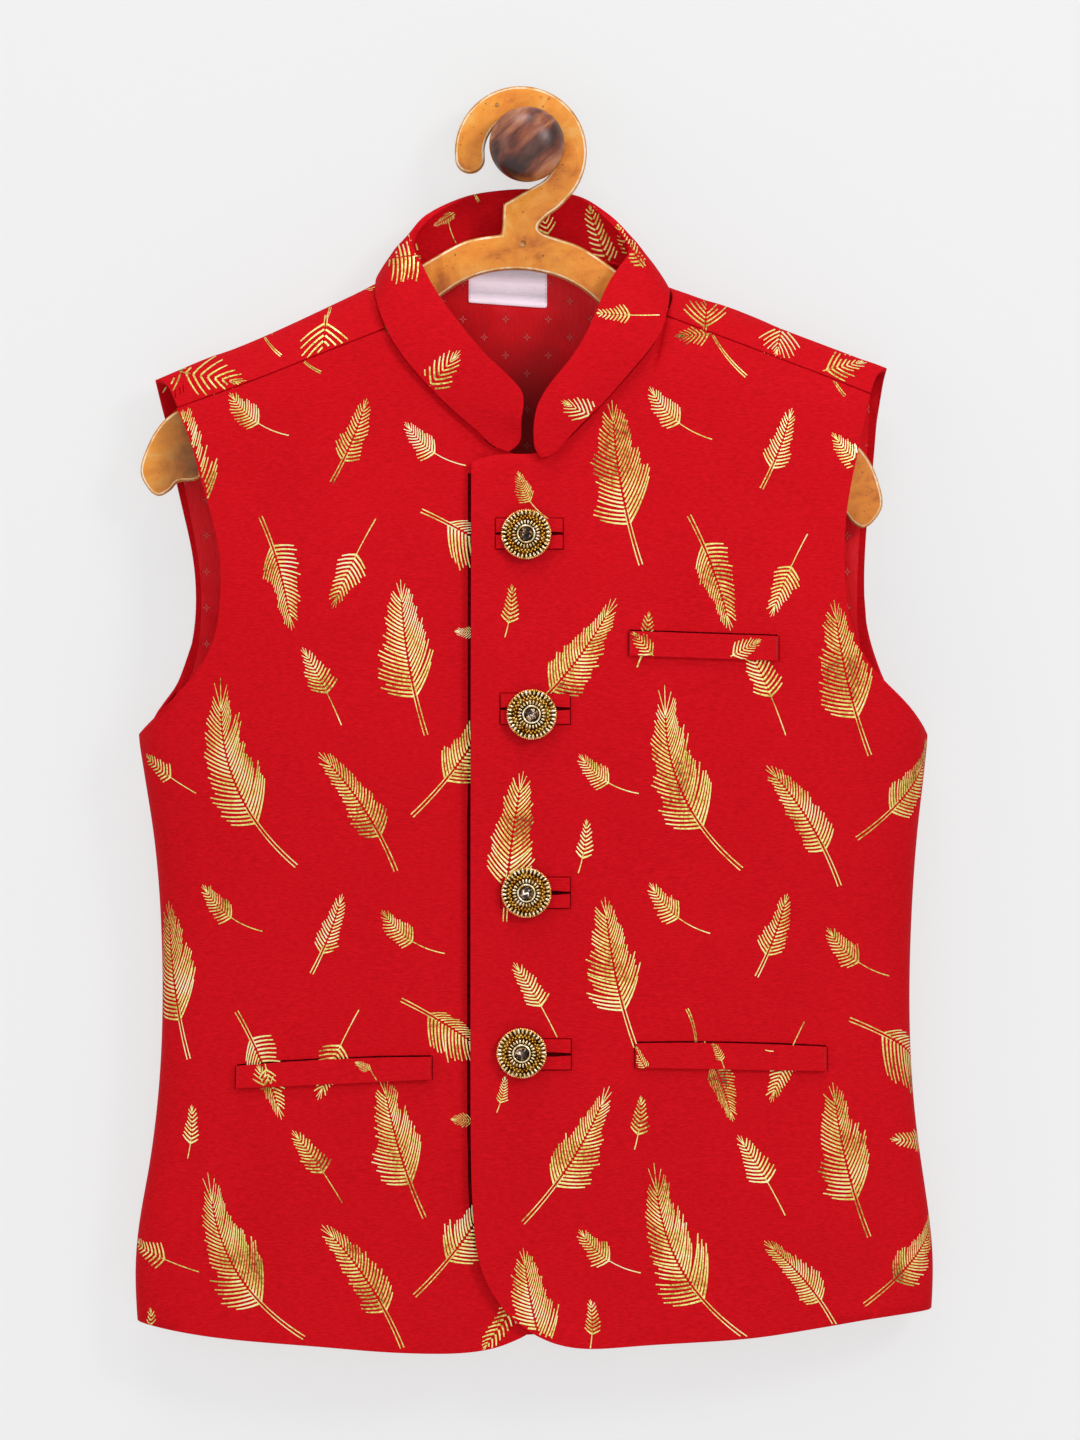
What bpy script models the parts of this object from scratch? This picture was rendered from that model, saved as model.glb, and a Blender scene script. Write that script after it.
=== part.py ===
"""A child's sleeveless nehru jacket on a flat wooden hanger, hung from a turned wall knob.

The origin is the middle of the knob's back face, where it is fixed to the wall. +Z is up, +X runs to
the right as the jacket's front is seen, and the wall is the plane Y = 0. Sizes are in millimetres and
depth is the distance in front of the wall, so a point (x, depth, z) lies at Y = -depth.
"""

import math

import bmesh
import bpy
import numpy as np
from mathutils import Matrix, Vector

MM = 0.001
SEAM_GAP = 0.3

# Cloth walls
FRONT_WALL = 2.0
BACK_WALL = 1.8
LINING_WALL = 1.0
COLLAR_WALL = 2.8
LABEL_WALL = 1.0

# Depths of the garment
BACK_PLANE = 3.0
RIDGE_DEPTH = 17.0
BACK_NECK_DEPTH = 6.0
FRONT_ROLL = 40.0  # how far below the shoulder ridge the front reaches its full depth
BACK_ROLL = 16.0
SIDE_POWER = 3.0  # higher is a tighter roll at the side seam
BACK_SIDE_POWER = 6.0
UNDERARM = -247.0
NECK_HALF = 60.0
NECK_SHARE_LEFT = -0.4  # where the neck begins, as a share of the way from the middle to a shoulder tip
NECK_SHARE_RIGHT = 0.385
NECK_BULGE = 3.2  # the shoulder strip's neck edge curves out by this much

# Underlap of the right front below the left one
UNDERLAP_DROP = 3.3
UNDERLAP_EDGE = -25.0
UNDERLAP_RAMP = 22.0

# Body sections from the hem up: the silhouette's sides, the side seam's depth and the front's crown
LEVELS = {
    "columns": ("z", "left", "right", "seam", "crown"),
    "rows": (
        (-506.0, -164.3, 171.0, 13.0, 39.5),
        (-490.0, -163.9, 170.2, 13.0, 40.0),
        (-468.0, -165.5, 171.3, 13.0, 41.0),
        (-434.0, -159.7, 166.8, 14.0, 43.0),
        (-400.0, -155.1, 162.4, 15.0, 45.0),
        (-363.0, -153.1, 160.7, 15.0, 46.5),
        (-320.0, -154.0, 161.8, 15.0, 48.5),
        (-282.0, -157.7, 164.6, 15.5, 50.5),
        (-246.0, -163.6, 168.7, 16.0, 52.0),
        (-200.0, -164.0, 168.0, 16.5, 51.0),
        (-150.0, -162.0, 163.0, 17.0, 47.5),
        (-100.0, -160.0, 158.0, 17.0, 43.0),
        (-40.0, -158.0, 154.0, 17.0, 40.0),
    ),
}

# Armhole edges of the fronts and of the back
ARMHOLES = {
    "columns": ("z", "left_front", "left_back", "right_front", "right_back"),
    "rows": (
        (-247.0, -163.6, -163.6, 168.7, 168.7),
        (-238.0, -154.0, -155.0, 164.0, 164.0),
        (-228.0, -143.8, -149.0, 152.2, 152.5),
        (-215.0, -133.5, -143.5, 140.6, 145.3),
        (-200.0, -129.6, -139.2, 134.8, 142.9),
        (-180.0, -128.7, -137.4, 132.6, 140.8),
        (-160.0, -131.8, -141.1, 132.9, 139.9),
        (-140.0, -137.0, -145.5, 136.0, 142.8),
        (-120.0, -141.9, -151.6, 140.4, 146.0),
        (-104.0, -147.3, -155.4, 144.0, 149.3),
        (-92.0, -151.0, -157.5, 147.5, 151.0),
    ),
}

# Top line seen from the front: the shoulder ridge, and the back neck between x = -61 and 58
TOP_LINE = {
    "columns": ("x", "z"),
    "rows": (
        (-156.5, -98.2),
        (-134.0, -88.6),
        (-111.5, -79.9),
        (-86.1, -67.8),
        (-62.0, -56.6),
        (-50.0, -49.6),
        (-30.0, -46.2),
        (0.0, -45.6),
        (30.0, -46.4),
        (46.0, -50.6),
        (58.0, -58.4),
        (75.8, -63.8),
        (109.6, -77.3),
        (132.0, -85.7),
        (151.5, -93.2),
    ),
}

# Shoulder ridge carried across the neck, which sets how the front rolls back at its top
RIDGE_LINE = {
    "columns": ("x", "z"),
    "rows": (
        (-160.0, -99.5),
        (-111.5, -79.9),
        (-62.0, -56.6),
        (-20.0, -36.0),
        (20.0, -36.0),
        (58.0, -58.4),
        (109.6, -77.3),
        (156.0, -95.0),
    ),
}

# Shoulder seams, on the front a little below the ridge
RIGHT_FRONT_SEAM = {
    "columns": ("x", "z"),
    "rows": ((-147.0, -110.3), (-120.7, -101.2), (-95.3, -91.4), (-74.6, -83.4), (-59.3, -77.4)),
}
LEFT_FRONT_SEAM = {
    "columns": ("x", "z"),
    "rows": ((58.2, -71.8), (75.8, -78.4), (93.8, -85.2), (126.4, -97.5), (144.0, -104.4)),
}

# Necklines, from the shoulder seam to the head of the front edge
RIGHT_FRONT_NECK = {
    "columns": ("x", "z"),
    "rows": (
        (-59.3, -77.4),
        (-53.9, -86.9),
        (-45.8, -97.2),
        (-34.3, -108.7),
        (-22.8, -118.5),
        (-8.9, -128.6),
        (2.0, -133.0),
        (11.0, -134.5),
    ),
}
LEFT_FRONT_NECK = {
    "columns": ("x", "z"),
    "rows": (
        (-23.3, -133.2),
        (-9.3, -129.4),
        (4.0, -130.6),
        (13.9, -126.8),
        (24.1, -116.7),
        (33.1, -107.6),
        (42.0, -97.5),
        (49.9, -88.5),
        (55.0, -80.8),
        (58.2, -71.8),
    ),
}

# Hem and front edge of each front, meeting in the rounded corner
RIGHT_FRONT_HEM = {
    "columns": ("x", "z"),
    "rows": (
        (-163.9, -493.7),
        (-147.4, -497.2),
        (-126.2, -500.2),
        (-88.5, -503.1),
        (-53.1, -505.8),
        (-29.5, -506.3),
        (-14.2, -504.3),
        (1.1, -498.0),
    ),
}
RIGHT_FRONT_EDGE = {
    "columns": ("z", "x"),
    "rows": ((-498.0, 1.1), (-484.0, 8.4), (-462.0, 10.6), (-400.0, 11.0), (-134.5, 11.0)),
}
LEFT_FRONT_HEM = {
    "columns": ("x", "z"),
    "rows": (
        (-9.0, -488.9),
        (0.7, -496.9),
        (12.8, -502.7),
        (24.8, -504.4),
        (48.9, -502.6),
        (91.1, -500.1),
        (115.2, -496.7),
        (145.4, -491.8),
        (170.2, -488.6),
    ),
}
LEFT_FRONT_EDGE = {
    "columns": ("z", "x"),
    "rows": (
        (-488.9, -9.0),
        (-472.5, -18.9),
        (-457.0, -21.9),
        (-430.0, -23.3),
        (-400.0, -23.6),
        (-133.2, -23.3),
    ),
}
HEM_CORNER = -494.0
BACK_HEM_LIFT = 5.0  # the back's hem sits this much above the fronts'

# Soft folds of the fronts: where each runs, how wide it is and how far it stands out (or sinks)
FOLDS = {
    "columns": ("x_top", "z_top", "x_foot", "z_foot", "width", "rise"),
    "rows": (
        (-104.0, -118.0, -118.0, -205.0, 16.0, -2.6),
        (-70.0, -120.0, -92.0, -250.0, 18.0, 1.8),
        (-44.0, -150.0, -52.0, -330.0, 13.0, -1.4),
        (-132.0, -285.0, -120.0, -400.0, 15.0, -1.6),
        (-96.0, -330.0, -128.0, -505.0, 17.0, 2.2),
        (-60.0, -400.0, -66.0, -505.0, 14.0, -1.8),
        (100.0, -108.0, 118.0, -190.0, 17.0, -3.0),
        (66.0, -120.0, 82.0, -230.0, 18.0, 1.8),
        (34.0, -230.0, 40.0, -370.0, 13.0, -1.5),
        (134.0, -290.0, 120.0, -400.0, 15.0, -1.6),
        (98.0, -400.0, 132.0, -500.0, 17.0, 2.4),
        (58.0, -400.0, 66.0, -505.0, 15.0, -1.6),
    ),
}

# Collar stations from the left front end round the back to the right front end.
# The lower edge follows the neck seam; on the back it takes the back's depth.
COLLAR = {
    "columns": ("place", "low_x", "low_z", "top_x", "top_z", "top_depth"),
    "rows": (
        ("left", -4.6, -130.0, -1.2, -107.4, 46.0),
        ("left", -13.5, -125.2, -7.8, -98.4, 45.6),
        ("left", -22.8, -118.5, -17.2, -88.4, 44.2),
        ("left", -34.3, -108.7, -25.4, -78.8, 42.0),
        ("left", -45.8, -97.2, -32.8, -69.6, 39.5),
        ("left", -53.9, -86.9, -39.2, -60.4, 36.0),
        ("left", -59.2, -77.0, -43.8, -51.0, 32.0),
        ("left", -61.8, -66.6, -47.2, -43.2, 27.0),
        ("ridge", -61.8, -56.8, -46.6, -37.8, 21.5),
        ("back", -55.0, -52.0, -42.6, -31.8, 16.0),
        ("back", -42.0, -47.9, -34.0, -25.2, 11.8),
        ("back", -22.0, -45.9, -20.4, -19.6, 9.0),
        ("back", 0.0, -45.6, 0.0, -17.6, 8.2),
        ("back", 22.0, -46.0, 20.4, -20.4, 9.0),
        ("back", 39.4, -48.4, 31.2, -28.2, 11.8),
        ("back", 49.0, -52.2, 38.0, -35.2, 16.0),
        ("ridge", 57.2, -58.4, 42.4, -42.0, 21.5),
        ("right", 58.4, -65.6, 42.0, -47.0, 27.0),
        ("right", 57.8, -73.0, 38.0, -52.4, 32.0),
        ("right", 55.6, -80.6, 33.2, -60.2, 36.0),
        ("right", 49.9, -88.5, 29.2, -70.2, 39.5),
        ("right", 42.0, -97.5, 24.6, -80.4, 42.0),
        ("right", 33.1, -107.6, 18.4, -90.4, 44.2),
        ("right", 24.1, -116.7, 11.8, -98.6, 45.6),
        ("right", 13.9, -126.8, 6.4, -105.4, 46.4),
        ("right", 4.4, -131.4, 3.0, -112.4, 46.8),
    ),
}
COLLAR_BOW = 1.2
COLLAR_SEAM_GAP = 0.5
COLLAR_END_ROUND = 3.0

# Welt pockets: the corners of each welt and how much its upper edge arches
WELTS = {
    "columns": ("name", "left_x", "left_z", "right_x", "right_z", "height", "arch"),
    "rows": (
        ("breast_welt", 42.8, -204.0, 104.6, -206.1, 10.3, 0.0),
        ("lower_welt_left", -121.2, -385.6, -40.0, -381.6, 9.4, 1.0),
        ("lower_welt_right", 45.4, -375.9, 125.0, -377.6, 10.2, 0.8),
    ),
}
WELT_WALL = 1.6

# Buttons, and the bound buttonhole that each one fastens
BUTTONS = {
    "columns": ("button_x", "button_z", "hole_left", "hole_right", "slit_z"),
    "rows": (
        (-0.3, -163.8, -12.9, 14.9, -163.4),
        (2.0, -238.8, -10.9, 17.9, -236.4),
        (-0.2, -313.0, -10.6, 17.9, -313.1),
        (-2.2, -380.0, -10.8, 18.3, -380.6),
    ),
}
LIP_HEIGHT = 6.1
LIP_WALL = 1.1
BUTTON_SEGMENTS = 24
STONE_SEGMENTS = 12
# Turned section of a button from its back to its seat for the stone
BUTTON_SECTION = {
    "columns": ("radius", "height"),
    "rows": (
        (0.0, 0.0),
        (9.6, 0.0),
        (11.0, 1.3),
        (10.6, 3.0),
        (9.4, 3.3),
        (8.3, 2.5),
        (7.2, 3.1),
        (6.4, 4.4),
        (4.6, 4.7),
        (3.9, 4.2),
        (0.0, 4.2),
    ),
}
STONE_RADIUS = 3.5
STONE_HEIGHT = 2.2
STONE_RINGS = 3

# Neck label, a folded loop below the back neck seam
LABEL_LEFT = -24.6
LABEL_RIGHT = 8.4
LABEL_TOP = -48.6
LABEL_FOOT_LEFT = -65.2
LABEL_FOOT_RIGHT = -67.6

# Hanger, cut from flat board; it hangs turned about the knob
HANGER_NEAR = 13.4
HANGER_FAR = 21.7
HANGER_TILT = math.radians(-2.6)
HANGER_EDGE = 1.2
HOOK_X, HOOK_Z = -2.6, -2.6
HOOK_OUTER = 27.7
HOOK_INNER = 15.3
HOOK_TIP_ANGLE = math.radians(187.0)
HOOK_FOOT_OUTER = math.radians(-38.0)
HOOK_FOOT_INNER = math.radians(-66.0)
HOOK_STEPS = 26
STEM_LEFT = ((-8.4, -23.4), (-10.0, -27.0), (-11.2, -33.0), (-13.8, -36.8))
STEM_RIGHT = ((13.4, -25.9), (8.8, -29.4), (6.2, -33.0), (6.6, -35.8), (9.8, -37.8))
ARM_TOP = {
    "columns": ("reach", "z"),
    "rows": ((22.0, -40.3), (30.0, -44.2), (38.7, -49.8), (90.0, -83.4), (143.5, -118.8)),
}
ARM_END = ((149.6, -125.4), (153.8, -134.2), (156.0, -143.4), (153.6, -149.4), (148.6, -153.8))
ARM_FOOT = ((143.4, -151.4), (140.0, -147.6), (131.7, -146.0))
ARM_UNDER = {
    "columns": ("reach", "z"),
    "rows": ((131.7, -146.0), (82.0, -104.6), (33.5, -64.8), (24.5, -58.2), (13.5, -53.7), (0.0, -52.0)),
}

# Wall knob, turned about the Y axis
KNOB_SEGMENTS = 36
KNOB_SECTION = {
    "columns": ("depth", "radius"),
    "rows": (
        (0.0, 0.0),
        (0.0, 14.0),
        (2.6, 14.0),
        (4.8, 11.3),
        (23.4, 11.3),
        (24.6, 13.8),
        (27.6, 15.7),
        (32.0, 16.0),
        (38.0, 15.6),
        (42.4, 13.6),
        (45.4, 9.6),
        (46.8, 4.8),
        (47.2, 0.0),
    ),
}

# Grid steps
FRONT_ACROSS, FRONT_UP = 20, 24
UNDERARM_ROW = 12
BACK_UNDERARM_ROW = 9
SIDE_SPACING = 2.2
SIDE_EASE = 1.5
EDGE_SPACING = 1.35
BACK_SPACING = 1.6
ROW_SPACING = 1.5
BACK_ACROSS, BACK_UP = 28, 20
SHOULDER_COLUMNS = 8
SHOULDER_ROWS = 4
COLLAR_AROUND, COLLAR_UP = 50, 4
WELT_ACROSS = 8
LABEL_ACROSS, LABEL_DOWN = 6, 4

# The back lining stops inside the armholes and short of the shoulders, the neck seam and the hem
LINING_SHARE = 0.955
LINING_GAP = 0.6
LINING_HEM = 10.0
LINING_NECK = 2.5
LINING_SHOULDER = 15.0


# ---------------------------------------------------------------- reading the tables


def hermite(knots, values, at):
    """A smooth curve through the knots that never overshoots them."""
    knots = np.asarray(knots, float)
    values = np.asarray(values, float)
    steps = np.diff(knots)
    rises = np.diff(values) / steps
    slopes = np.zeros(len(knots))
    slopes[0], slopes[-1] = rises[0], rises[-1]
    same = rises[:-1] * rises[1:] > 0
    inner = np.zeros(len(rises) - 1)
    inner[same] = 2 * rises[:-1][same] * rises[1:][same] / (rises[:-1] + rises[1:])[same]
    slopes[1:-1] = inner
    at = np.clip(at, knots[0], knots[-1])
    k = np.clip(np.searchsorted(knots, at, side="right") - 1, 0, len(steps) - 1)
    t = (at - knots[k]) / steps[k]
    low = values[k] * (1 + 2 * t) * (1 - t) ** 2 + values[k + 1] * t**2 * (3 - 2 * t)
    return low + steps[k] * t * (1 - t) * (slopes[k] * (1 - t) - slopes[k + 1] * t)


def column(table, name):
    place = table["columns"].index(name)
    return [row[place] for row in table["rows"]]


def read(table, name, at):
    """The named column's value at a place along the table's first column."""
    return hermite(column(table, table["columns"][0]), column(table, name), at)


def rows_of(table):
    return [dict(zip(table["columns"], row)) for row in table["rows"]]


def line(table, ends, count):
    """Even points (x, z) along a table whose columns are x and z, between two values of its first."""
    first = table["columns"][0]
    second = table["columns"][1]
    fine = np.linspace(ends[0], ends[1], 400)
    pair = {first: fine, second: read(table, second, fine)}
    points = np.column_stack([pair["x"], pair["z"]])
    run = np.concatenate([[0], np.cumsum(np.linalg.norm(np.diff(points, axis=0), axis=1))])
    even = np.linspace(0, run[-1], count)
    return np.column_stack([np.interp(even, run, points[:, 0]), np.interp(even, run, points[:, 1])])


# ---------------------------------------------------------------- the garment's surfaces


def across(x, z):
    """0 in the middle of the body and 1 at either side seam."""
    left = read(LEVELS, "left", z)
    right = read(LEVELS, "right", z)
    middle = (left + right) / 2
    return np.clip(np.abs(x - middle) / ((right - left) / 2), 0, 1)


def folds(x, z):
    total = np.zeros(np.broadcast(x, z).shape)
    for fold in rows_of(FOLDS):
        span = fold["z_foot"] - fold["z_top"]
        down = np.clip((z - fold["z_top"]) / span, 0, 1)
        middle = fold["x_top"] + (fold["x_foot"] - fold["x_top"]) * down
        fade = np.sin(math.pi * np.clip(0.08 + 0.84 * down, 0, 1))
        ends = np.clip(1 - np.abs((z - fold["z_top"]) / span - 0.5) * 2 + 0.25, 0, 1)
        total = total + fold["rise"] * fade * ends * np.exp(-(((x - middle) / fold["width"]) ** 2))
    return total


def front_depth(x, z):
    """Depth of the front's outer face."""
    side = across(x, z)
    seam = read(LEVELS, "seam", z)
    crown = read(LEVELS, "crown", z)
    body = seam + (crown - seam) * (1 - side**SIDE_POWER) ** (1 / SIDE_POWER)
    body = body + folds(x, z) * (1 - side**6)
    below = np.clip((read(RIDGE_LINE, "z", x) - z) / FRONT_ROLL, 0, 1)
    return RIDGE_DEPTH + (body - RIDGE_DEPTH) * np.sqrt(1 - (1 - below) ** 2)


def right_front_depth(x, z):
    """The right front dips under the left one near the middle."""
    under = np.clip((x - (UNDERLAP_EDGE - UNDERLAP_RAMP)) / UNDERLAP_RAMP, 0, 1)
    return front_depth(x, z) - UNDERLAP_DROP * under**2 * (3 - 2 * under)


def back_top_depth(x):
    near = np.clip(np.abs(x) / NECK_HALF, 0, 1)
    return BACK_NECK_DEPTH + (RIDGE_DEPTH - BACK_NECK_DEPTH) * near**3


def back_depth(x, z):
    """Depth of the back's outer face, which faces the wall."""
    side = across(x, z)
    seam = read(LEVELS, "seam", z)
    body = BACK_PLANE + (seam - BACK_PLANE) * (1 - (1 - side**BACK_SIDE_POWER) ** (1 / BACK_SIDE_POWER))
    below = np.clip((read(TOP_LINE, "z", x) - z) / BACK_ROLL, 0, 1)
    return body + (back_top_depth(x) - body) * (1 - np.sqrt(1 - (1 - below) ** 2))


def slope_normals(depth, x, z, outward):
    """Unit normals (x, y, z) of a depth surface; outward is -1 away from the wall and 1 towards it."""
    step = 0.4
    dx = (depth(x + step, z) - depth(x - step, z)) / (2 * step)
    dz = (depth(x, z + step) - depth(x, z - step)) / (2 * step)
    normals = np.stack([dx, np.ones_like(dx), dz], axis=-1) * outward
    return normals / np.linalg.norm(normals, axis=-1, keepdims=True)


def place(x, depth, z):
    return np.stack(np.broadcast_arrays(x, -np.asarray(depth, float), z), axis=-1).astype(float)


# ---------------------------------------------------------------- making meshes


def material(name, colour, roughness, metallic=0.0):
    made = bpy.data.materials.new(name)
    made.use_nodes = True
    shader = made.node_tree.nodes["Principled BSDF"]
    shader.inputs["Base Color"].default_value = (*colour, 1.0)
    shader.inputs["Roughness"].default_value = roughness
    shader.inputs["Metallic"].default_value = metallic
    return made


def add_object(name, mesh_data, coat):
    made = bpy.data.objects.new(name, mesh_data)
    bpy.context.scene.collection.objects.link(made)
    made.data.materials.append(coat)
    made.data.shade_smooth()
    made.data.set_sharp_from_angle(angle=math.radians(40))
    return made


def from_points(name, points, faces, coat):
    mesh = bpy.data.meshes.new(name)
    mesh.from_pydata([tuple(np.asarray(p) * MM) for p in points], [], faces)
    builder = bmesh.new()
    builder.from_mesh(mesh)
    bmesh.ops.recalc_face_normals(builder, faces=builder.faces)
    builder.to_mesh(mesh)
    builder.free()
    return add_object(name, mesh, coat)


def grid_normals(points, quads):
    """Vertex normals of a grid from the faces round each point."""
    normals = np.zeros_like(points)
    for quad in quads:
        a, b, c, d = (points[corner] for corner in quad)
        face = np.cross(c - a, d - b)
        for corner in quad:
            normals[corner] += face
    length = np.linalg.norm(normals, axis=-1, keepdims=True)
    return normals / np.where(length > 0, length, 1)


def cloth(name, outer, wall, coat, outward, present=None, fixed=None):
    """A cloth wall: a grid of outer points, the same grid moved in by the wall, and a rim.

    outward is any vector that the outer face looks along on the whole, present says which grid points
    exist, and fixed holds normals for the points whose wall must match a neighbour's.
    """
    count_u, count_v = outer.shape[:2]
    if present is None:
        present = np.ones((count_u, count_v), bool)
    quads = []
    for i in range(count_u - 1):
        for j in range(count_v - 1):
            quad = ((i, j), (i + 1, j), (i + 1, j + 1), (i, j + 1))
            if all(present[corner] for corner in quad):
                quads.append(quad)
    normals = grid_normals(outer, quads)
    if (normals[present] @ np.asarray(outward, float)).sum() < 0:
        quads = [quad[::-1] for quad in quads]
        normals = -normals
    if fixed is not None:
        known = ~np.isnan(fixed[..., 0])
        normals[known] = fixed[known]
    index = -np.ones((count_u, count_v), int)
    index[present] = np.arange(present.sum())
    size = int(present.sum())
    points = np.concatenate([outer[present], (outer - normals * wall)[present]])
    faces = []
    edges = {}
    for quad in quads:
        corners = [int(index[corner]) for corner in quad]
        faces.append(corners)
        faces.append([corner + size for corner in reversed(corners)])
        for start, end in zip(corners, corners[1:] + corners[:1]):
            edges[(start, end)] = True
    for start, end in edges:
        if (end, start) not in edges:
            faces.append([end, start, start + size, end + size])
    return from_points(name, points, faces, coat)


def turned(name, section, segments, coat, frame):
    """A solid of revolution about local Z from (radius, height) pairs that start and end on the axis."""
    points = []
    rings = []
    for radius, height in section:
        if radius == 0:
            rings.append([len(points)])
            points.append((0.0, 0.0, height))
            continue
        ring = []
        for k in range(segments):
            angle = 2 * math.pi * k / segments
            ring.append(len(points))
            points.append((radius * math.cos(angle), radius * math.sin(angle), height))
        rings.append(ring)
    faces = []
    for low, high in zip(rings, rings[1:]):
        for k in range(segments):
            n = (k + 1) % segments
            if len(low) == 1:
                faces.append((low[0], high[k], high[n]))
            elif len(high) == 1:
                faces.append((low[n], low[k], high[0]))
            else:
                faces.append((low[k], high[k], high[n], low[n]))
    placed = [frame @ Vector(p) for p in points]
    return from_points(name, placed, faces, coat)


def frame_on(depth, x, z, lift):
    """A frame on a depth surface whose Z axis is the surface's normal, lifted off it."""
    normal = slope_normals(depth, np.array([x]), np.array([z]), -1)[0]
    origin = Vector((x, -float(depth(np.array([x]), np.array([z]))[0]), z)) + Vector(normal) * lift
    sideways = Vector((0, 0, 1)).cross(Vector(normal)).normalized()
    up = Vector(normal).cross(sideways)
    turn = Matrix((sideways, up, Vector(normal))).transposed().to_4x4()
    return Matrix.Translation(origin) @ turn


def laid(name, depth, x, z, lift, wall, coat, outward=-1):
    """A thin piece that lies on a depth surface: the surface's own points, moved out along its normals."""
    normals = slope_normals(depth, x, z, outward)
    base = place(x, depth(x, z), z)
    return cloth(name, base + normals * (lift + wall), wall, coat, (0, outward, 0), fixed=normals)


# ---------------------------------------------------------------- the sewn pieces


def panel_grid(bottom, top, side, front, spread):
    """Points (x, z) of a four-sided panel, blended between its edges."""
    u = spread[:, None, None]
    v = np.linspace(0, 1, len(side))[None, :, None]
    corners = (1 - u) * (1 - v) * bottom[0] + u * (1 - v) * bottom[-1]
    corners = corners + (1 - u) * v * top[0] + u * v * top[-1]
    edges = (1 - v) * bottom[:, None] + v * top[:, None] + (1 - u) * side[None] + u * front[None]
    return edges - corners


def length_of(points):
    return np.linalg.norm(np.diff(points, axis=0), axis=1).sum()


def along_edge(points, fractions):
    """The points of an edge at these fractions of its length."""
    run = np.concatenate([[0], np.cumsum(np.linalg.norm(np.diff(points, axis=0), axis=1))])
    at = fractions * run[-1]
    return np.column_stack([np.interp(at, run, points[:, 0]), np.interp(at, run, points[:, 1])])


def side_edge(silhouette, armhole, hem_z, top_z):
    """Side seam and armhole of one panel, from the hem up, at even heights."""
    below = np.linspace(hem_z, UNDERARM, UNDERARM_ROW + 1)
    above = np.linspace(UNDERARM, top_z, FRONT_UP - UNDERARM_ROW + 1)
    z = np.concatenate([below, above[1:]])
    x = np.where(z <= UNDERARM, read(LEVELS, silhouette, z), read(ARMHOLES, armhole, z))
    return np.column_stack([x, z])


def table_ends(table, sign):
    """The first column's ends, the one nearest the side seam first."""
    ends = (table["rows"][0][0], table["rows"][-1][0])
    return ends[::-1] if sign > 0 else ends


def front_panel(name, depth, silhouette, armhole, hem, seam, neck, edge, coat):
    """One front: side seam and armhole, shoulder seam and neckline, front edge and hem."""
    sign = -1 if silhouette == "left" else 1
    even = np.linspace(0, 1, FRONT_ACROSS + 1)
    spread = even**SIDE_SPACING * (1 + SIDE_EASE * (1 - even))
    bottom_line = along_edge(line(hem, table_ends(hem, sign), 200), spread)
    seam_line = line(seam, table_ends(seam, sign), 150)
    neck_line = line(neck, table_ends(neck, sign), 150)
    seam_share = length_of(seam_line) / (length_of(seam_line) + length_of(neck_line))
    shares = spread.copy()
    shares[np.argmin(np.abs(spread - seam_share))] = seam_share
    top_line = along_edge(np.concatenate([seam_line, neck_line[1:]]), shares)
    side = side_edge(silhouette, armhole, bottom_line[0, 1], top_line[0, 1])
    side[0] = bottom_line[0]
    side[-1] = top_line[0]
    front_line = line(edge, (edge["rows"][0][0], edge["rows"][-1][0]), 300)
    front = along_edge(front_line, np.linspace(0, 1, FRONT_UP + 1) ** EDGE_SPACING)
    front[0] = bottom_line[-1]
    front[-1] = top_line[-1]
    grid = panel_grid(bottom_line, top_line, side, front, spread)
    x, z = grid[..., 0], grid[..., 1]
    outer = place(x, depth(x, z), z)
    normals = slope_normals(depth, x, z, -1)
    seam_rows = side[:, 1] <= UNDERARM
    normals[0, seam_rows] = (sign, 0, 0)
    outer[0, seam_rows, 1] = -read(LEVELS, "seam", side[seam_rows, 1]) - SEAM_GAP / 2
    outer[0, seam_rows, 0] = read(LEVELS, silhouette, side[seam_rows, 1])
    return cloth(name, outer, FRONT_WALL, coat, (0, -1, 0), fixed=normals)


def shoulder_seam(x):
    """Height of the shoulder seam on the front, which the back panel reaches over the ridge."""
    left = read(RIGHT_FRONT_SEAM, "z", x)
    right = read(LEFT_FRONT_SEAM, "z", x)
    return np.where(x < 0, left, right)


def back_columns():
    """Column fractions across the back with the shoulder columns at both ends."""
    neck = BACK_ACROSS - 2 * SHOULDER_COLUMNS
    step = np.linspace(0, 1, SHOULDER_COLUMNS + 1) ** BACK_SPACING
    left = -1 + (1 + NECK_SHARE_LEFT) * step
    middle = np.linspace(NECK_SHARE_LEFT, NECK_SHARE_RIGHT, neck + 1)
    right = (1 - (1 - NECK_SHARE_RIGHT) * step)[::-1]
    return np.concatenate([left, middle[1:], right[1:]])


def back_rows():
    below = np.linspace(-1, 0, BACK_UNDERARM_ROW + 1)
    above = 1 - (1 - np.linspace(0, 1, BACK_UP - BACK_UNDERARM_ROW + 1)) ** ROW_SPACING
    return np.concatenate([below, above[1:]])


def back_edges(z):
    left = np.where(z <= UNDERARM, read(LEVELS, "left", z), read(ARMHOLES, "left_back", z))
    right = np.where(z <= UNDERARM, read(LEVELS, "right", z), read(ARMHOLES, "right_back", z))
    return left, right


def hem_height(x):
    """Height of the fronts' hem, level under the overlap."""
    lowest_left = min(rows_of(RIGHT_FRONT_HEM), key=lambda row: row["z"])
    lowest_right = min(rows_of(LEFT_FRONT_HEM), key=lambda row: row["z"])
    left = read(RIGHT_FRONT_HEM, "z", np.minimum(x, lowest_left["x"]))
    right = read(LEFT_FRONT_HEM, "z", np.maximum(x, lowest_right["x"]))
    share = np.clip((x - lowest_left["x"]) / (lowest_right["x"] - lowest_left["x"]), 0, 1)
    return left * (1 - share) + right * share


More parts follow.
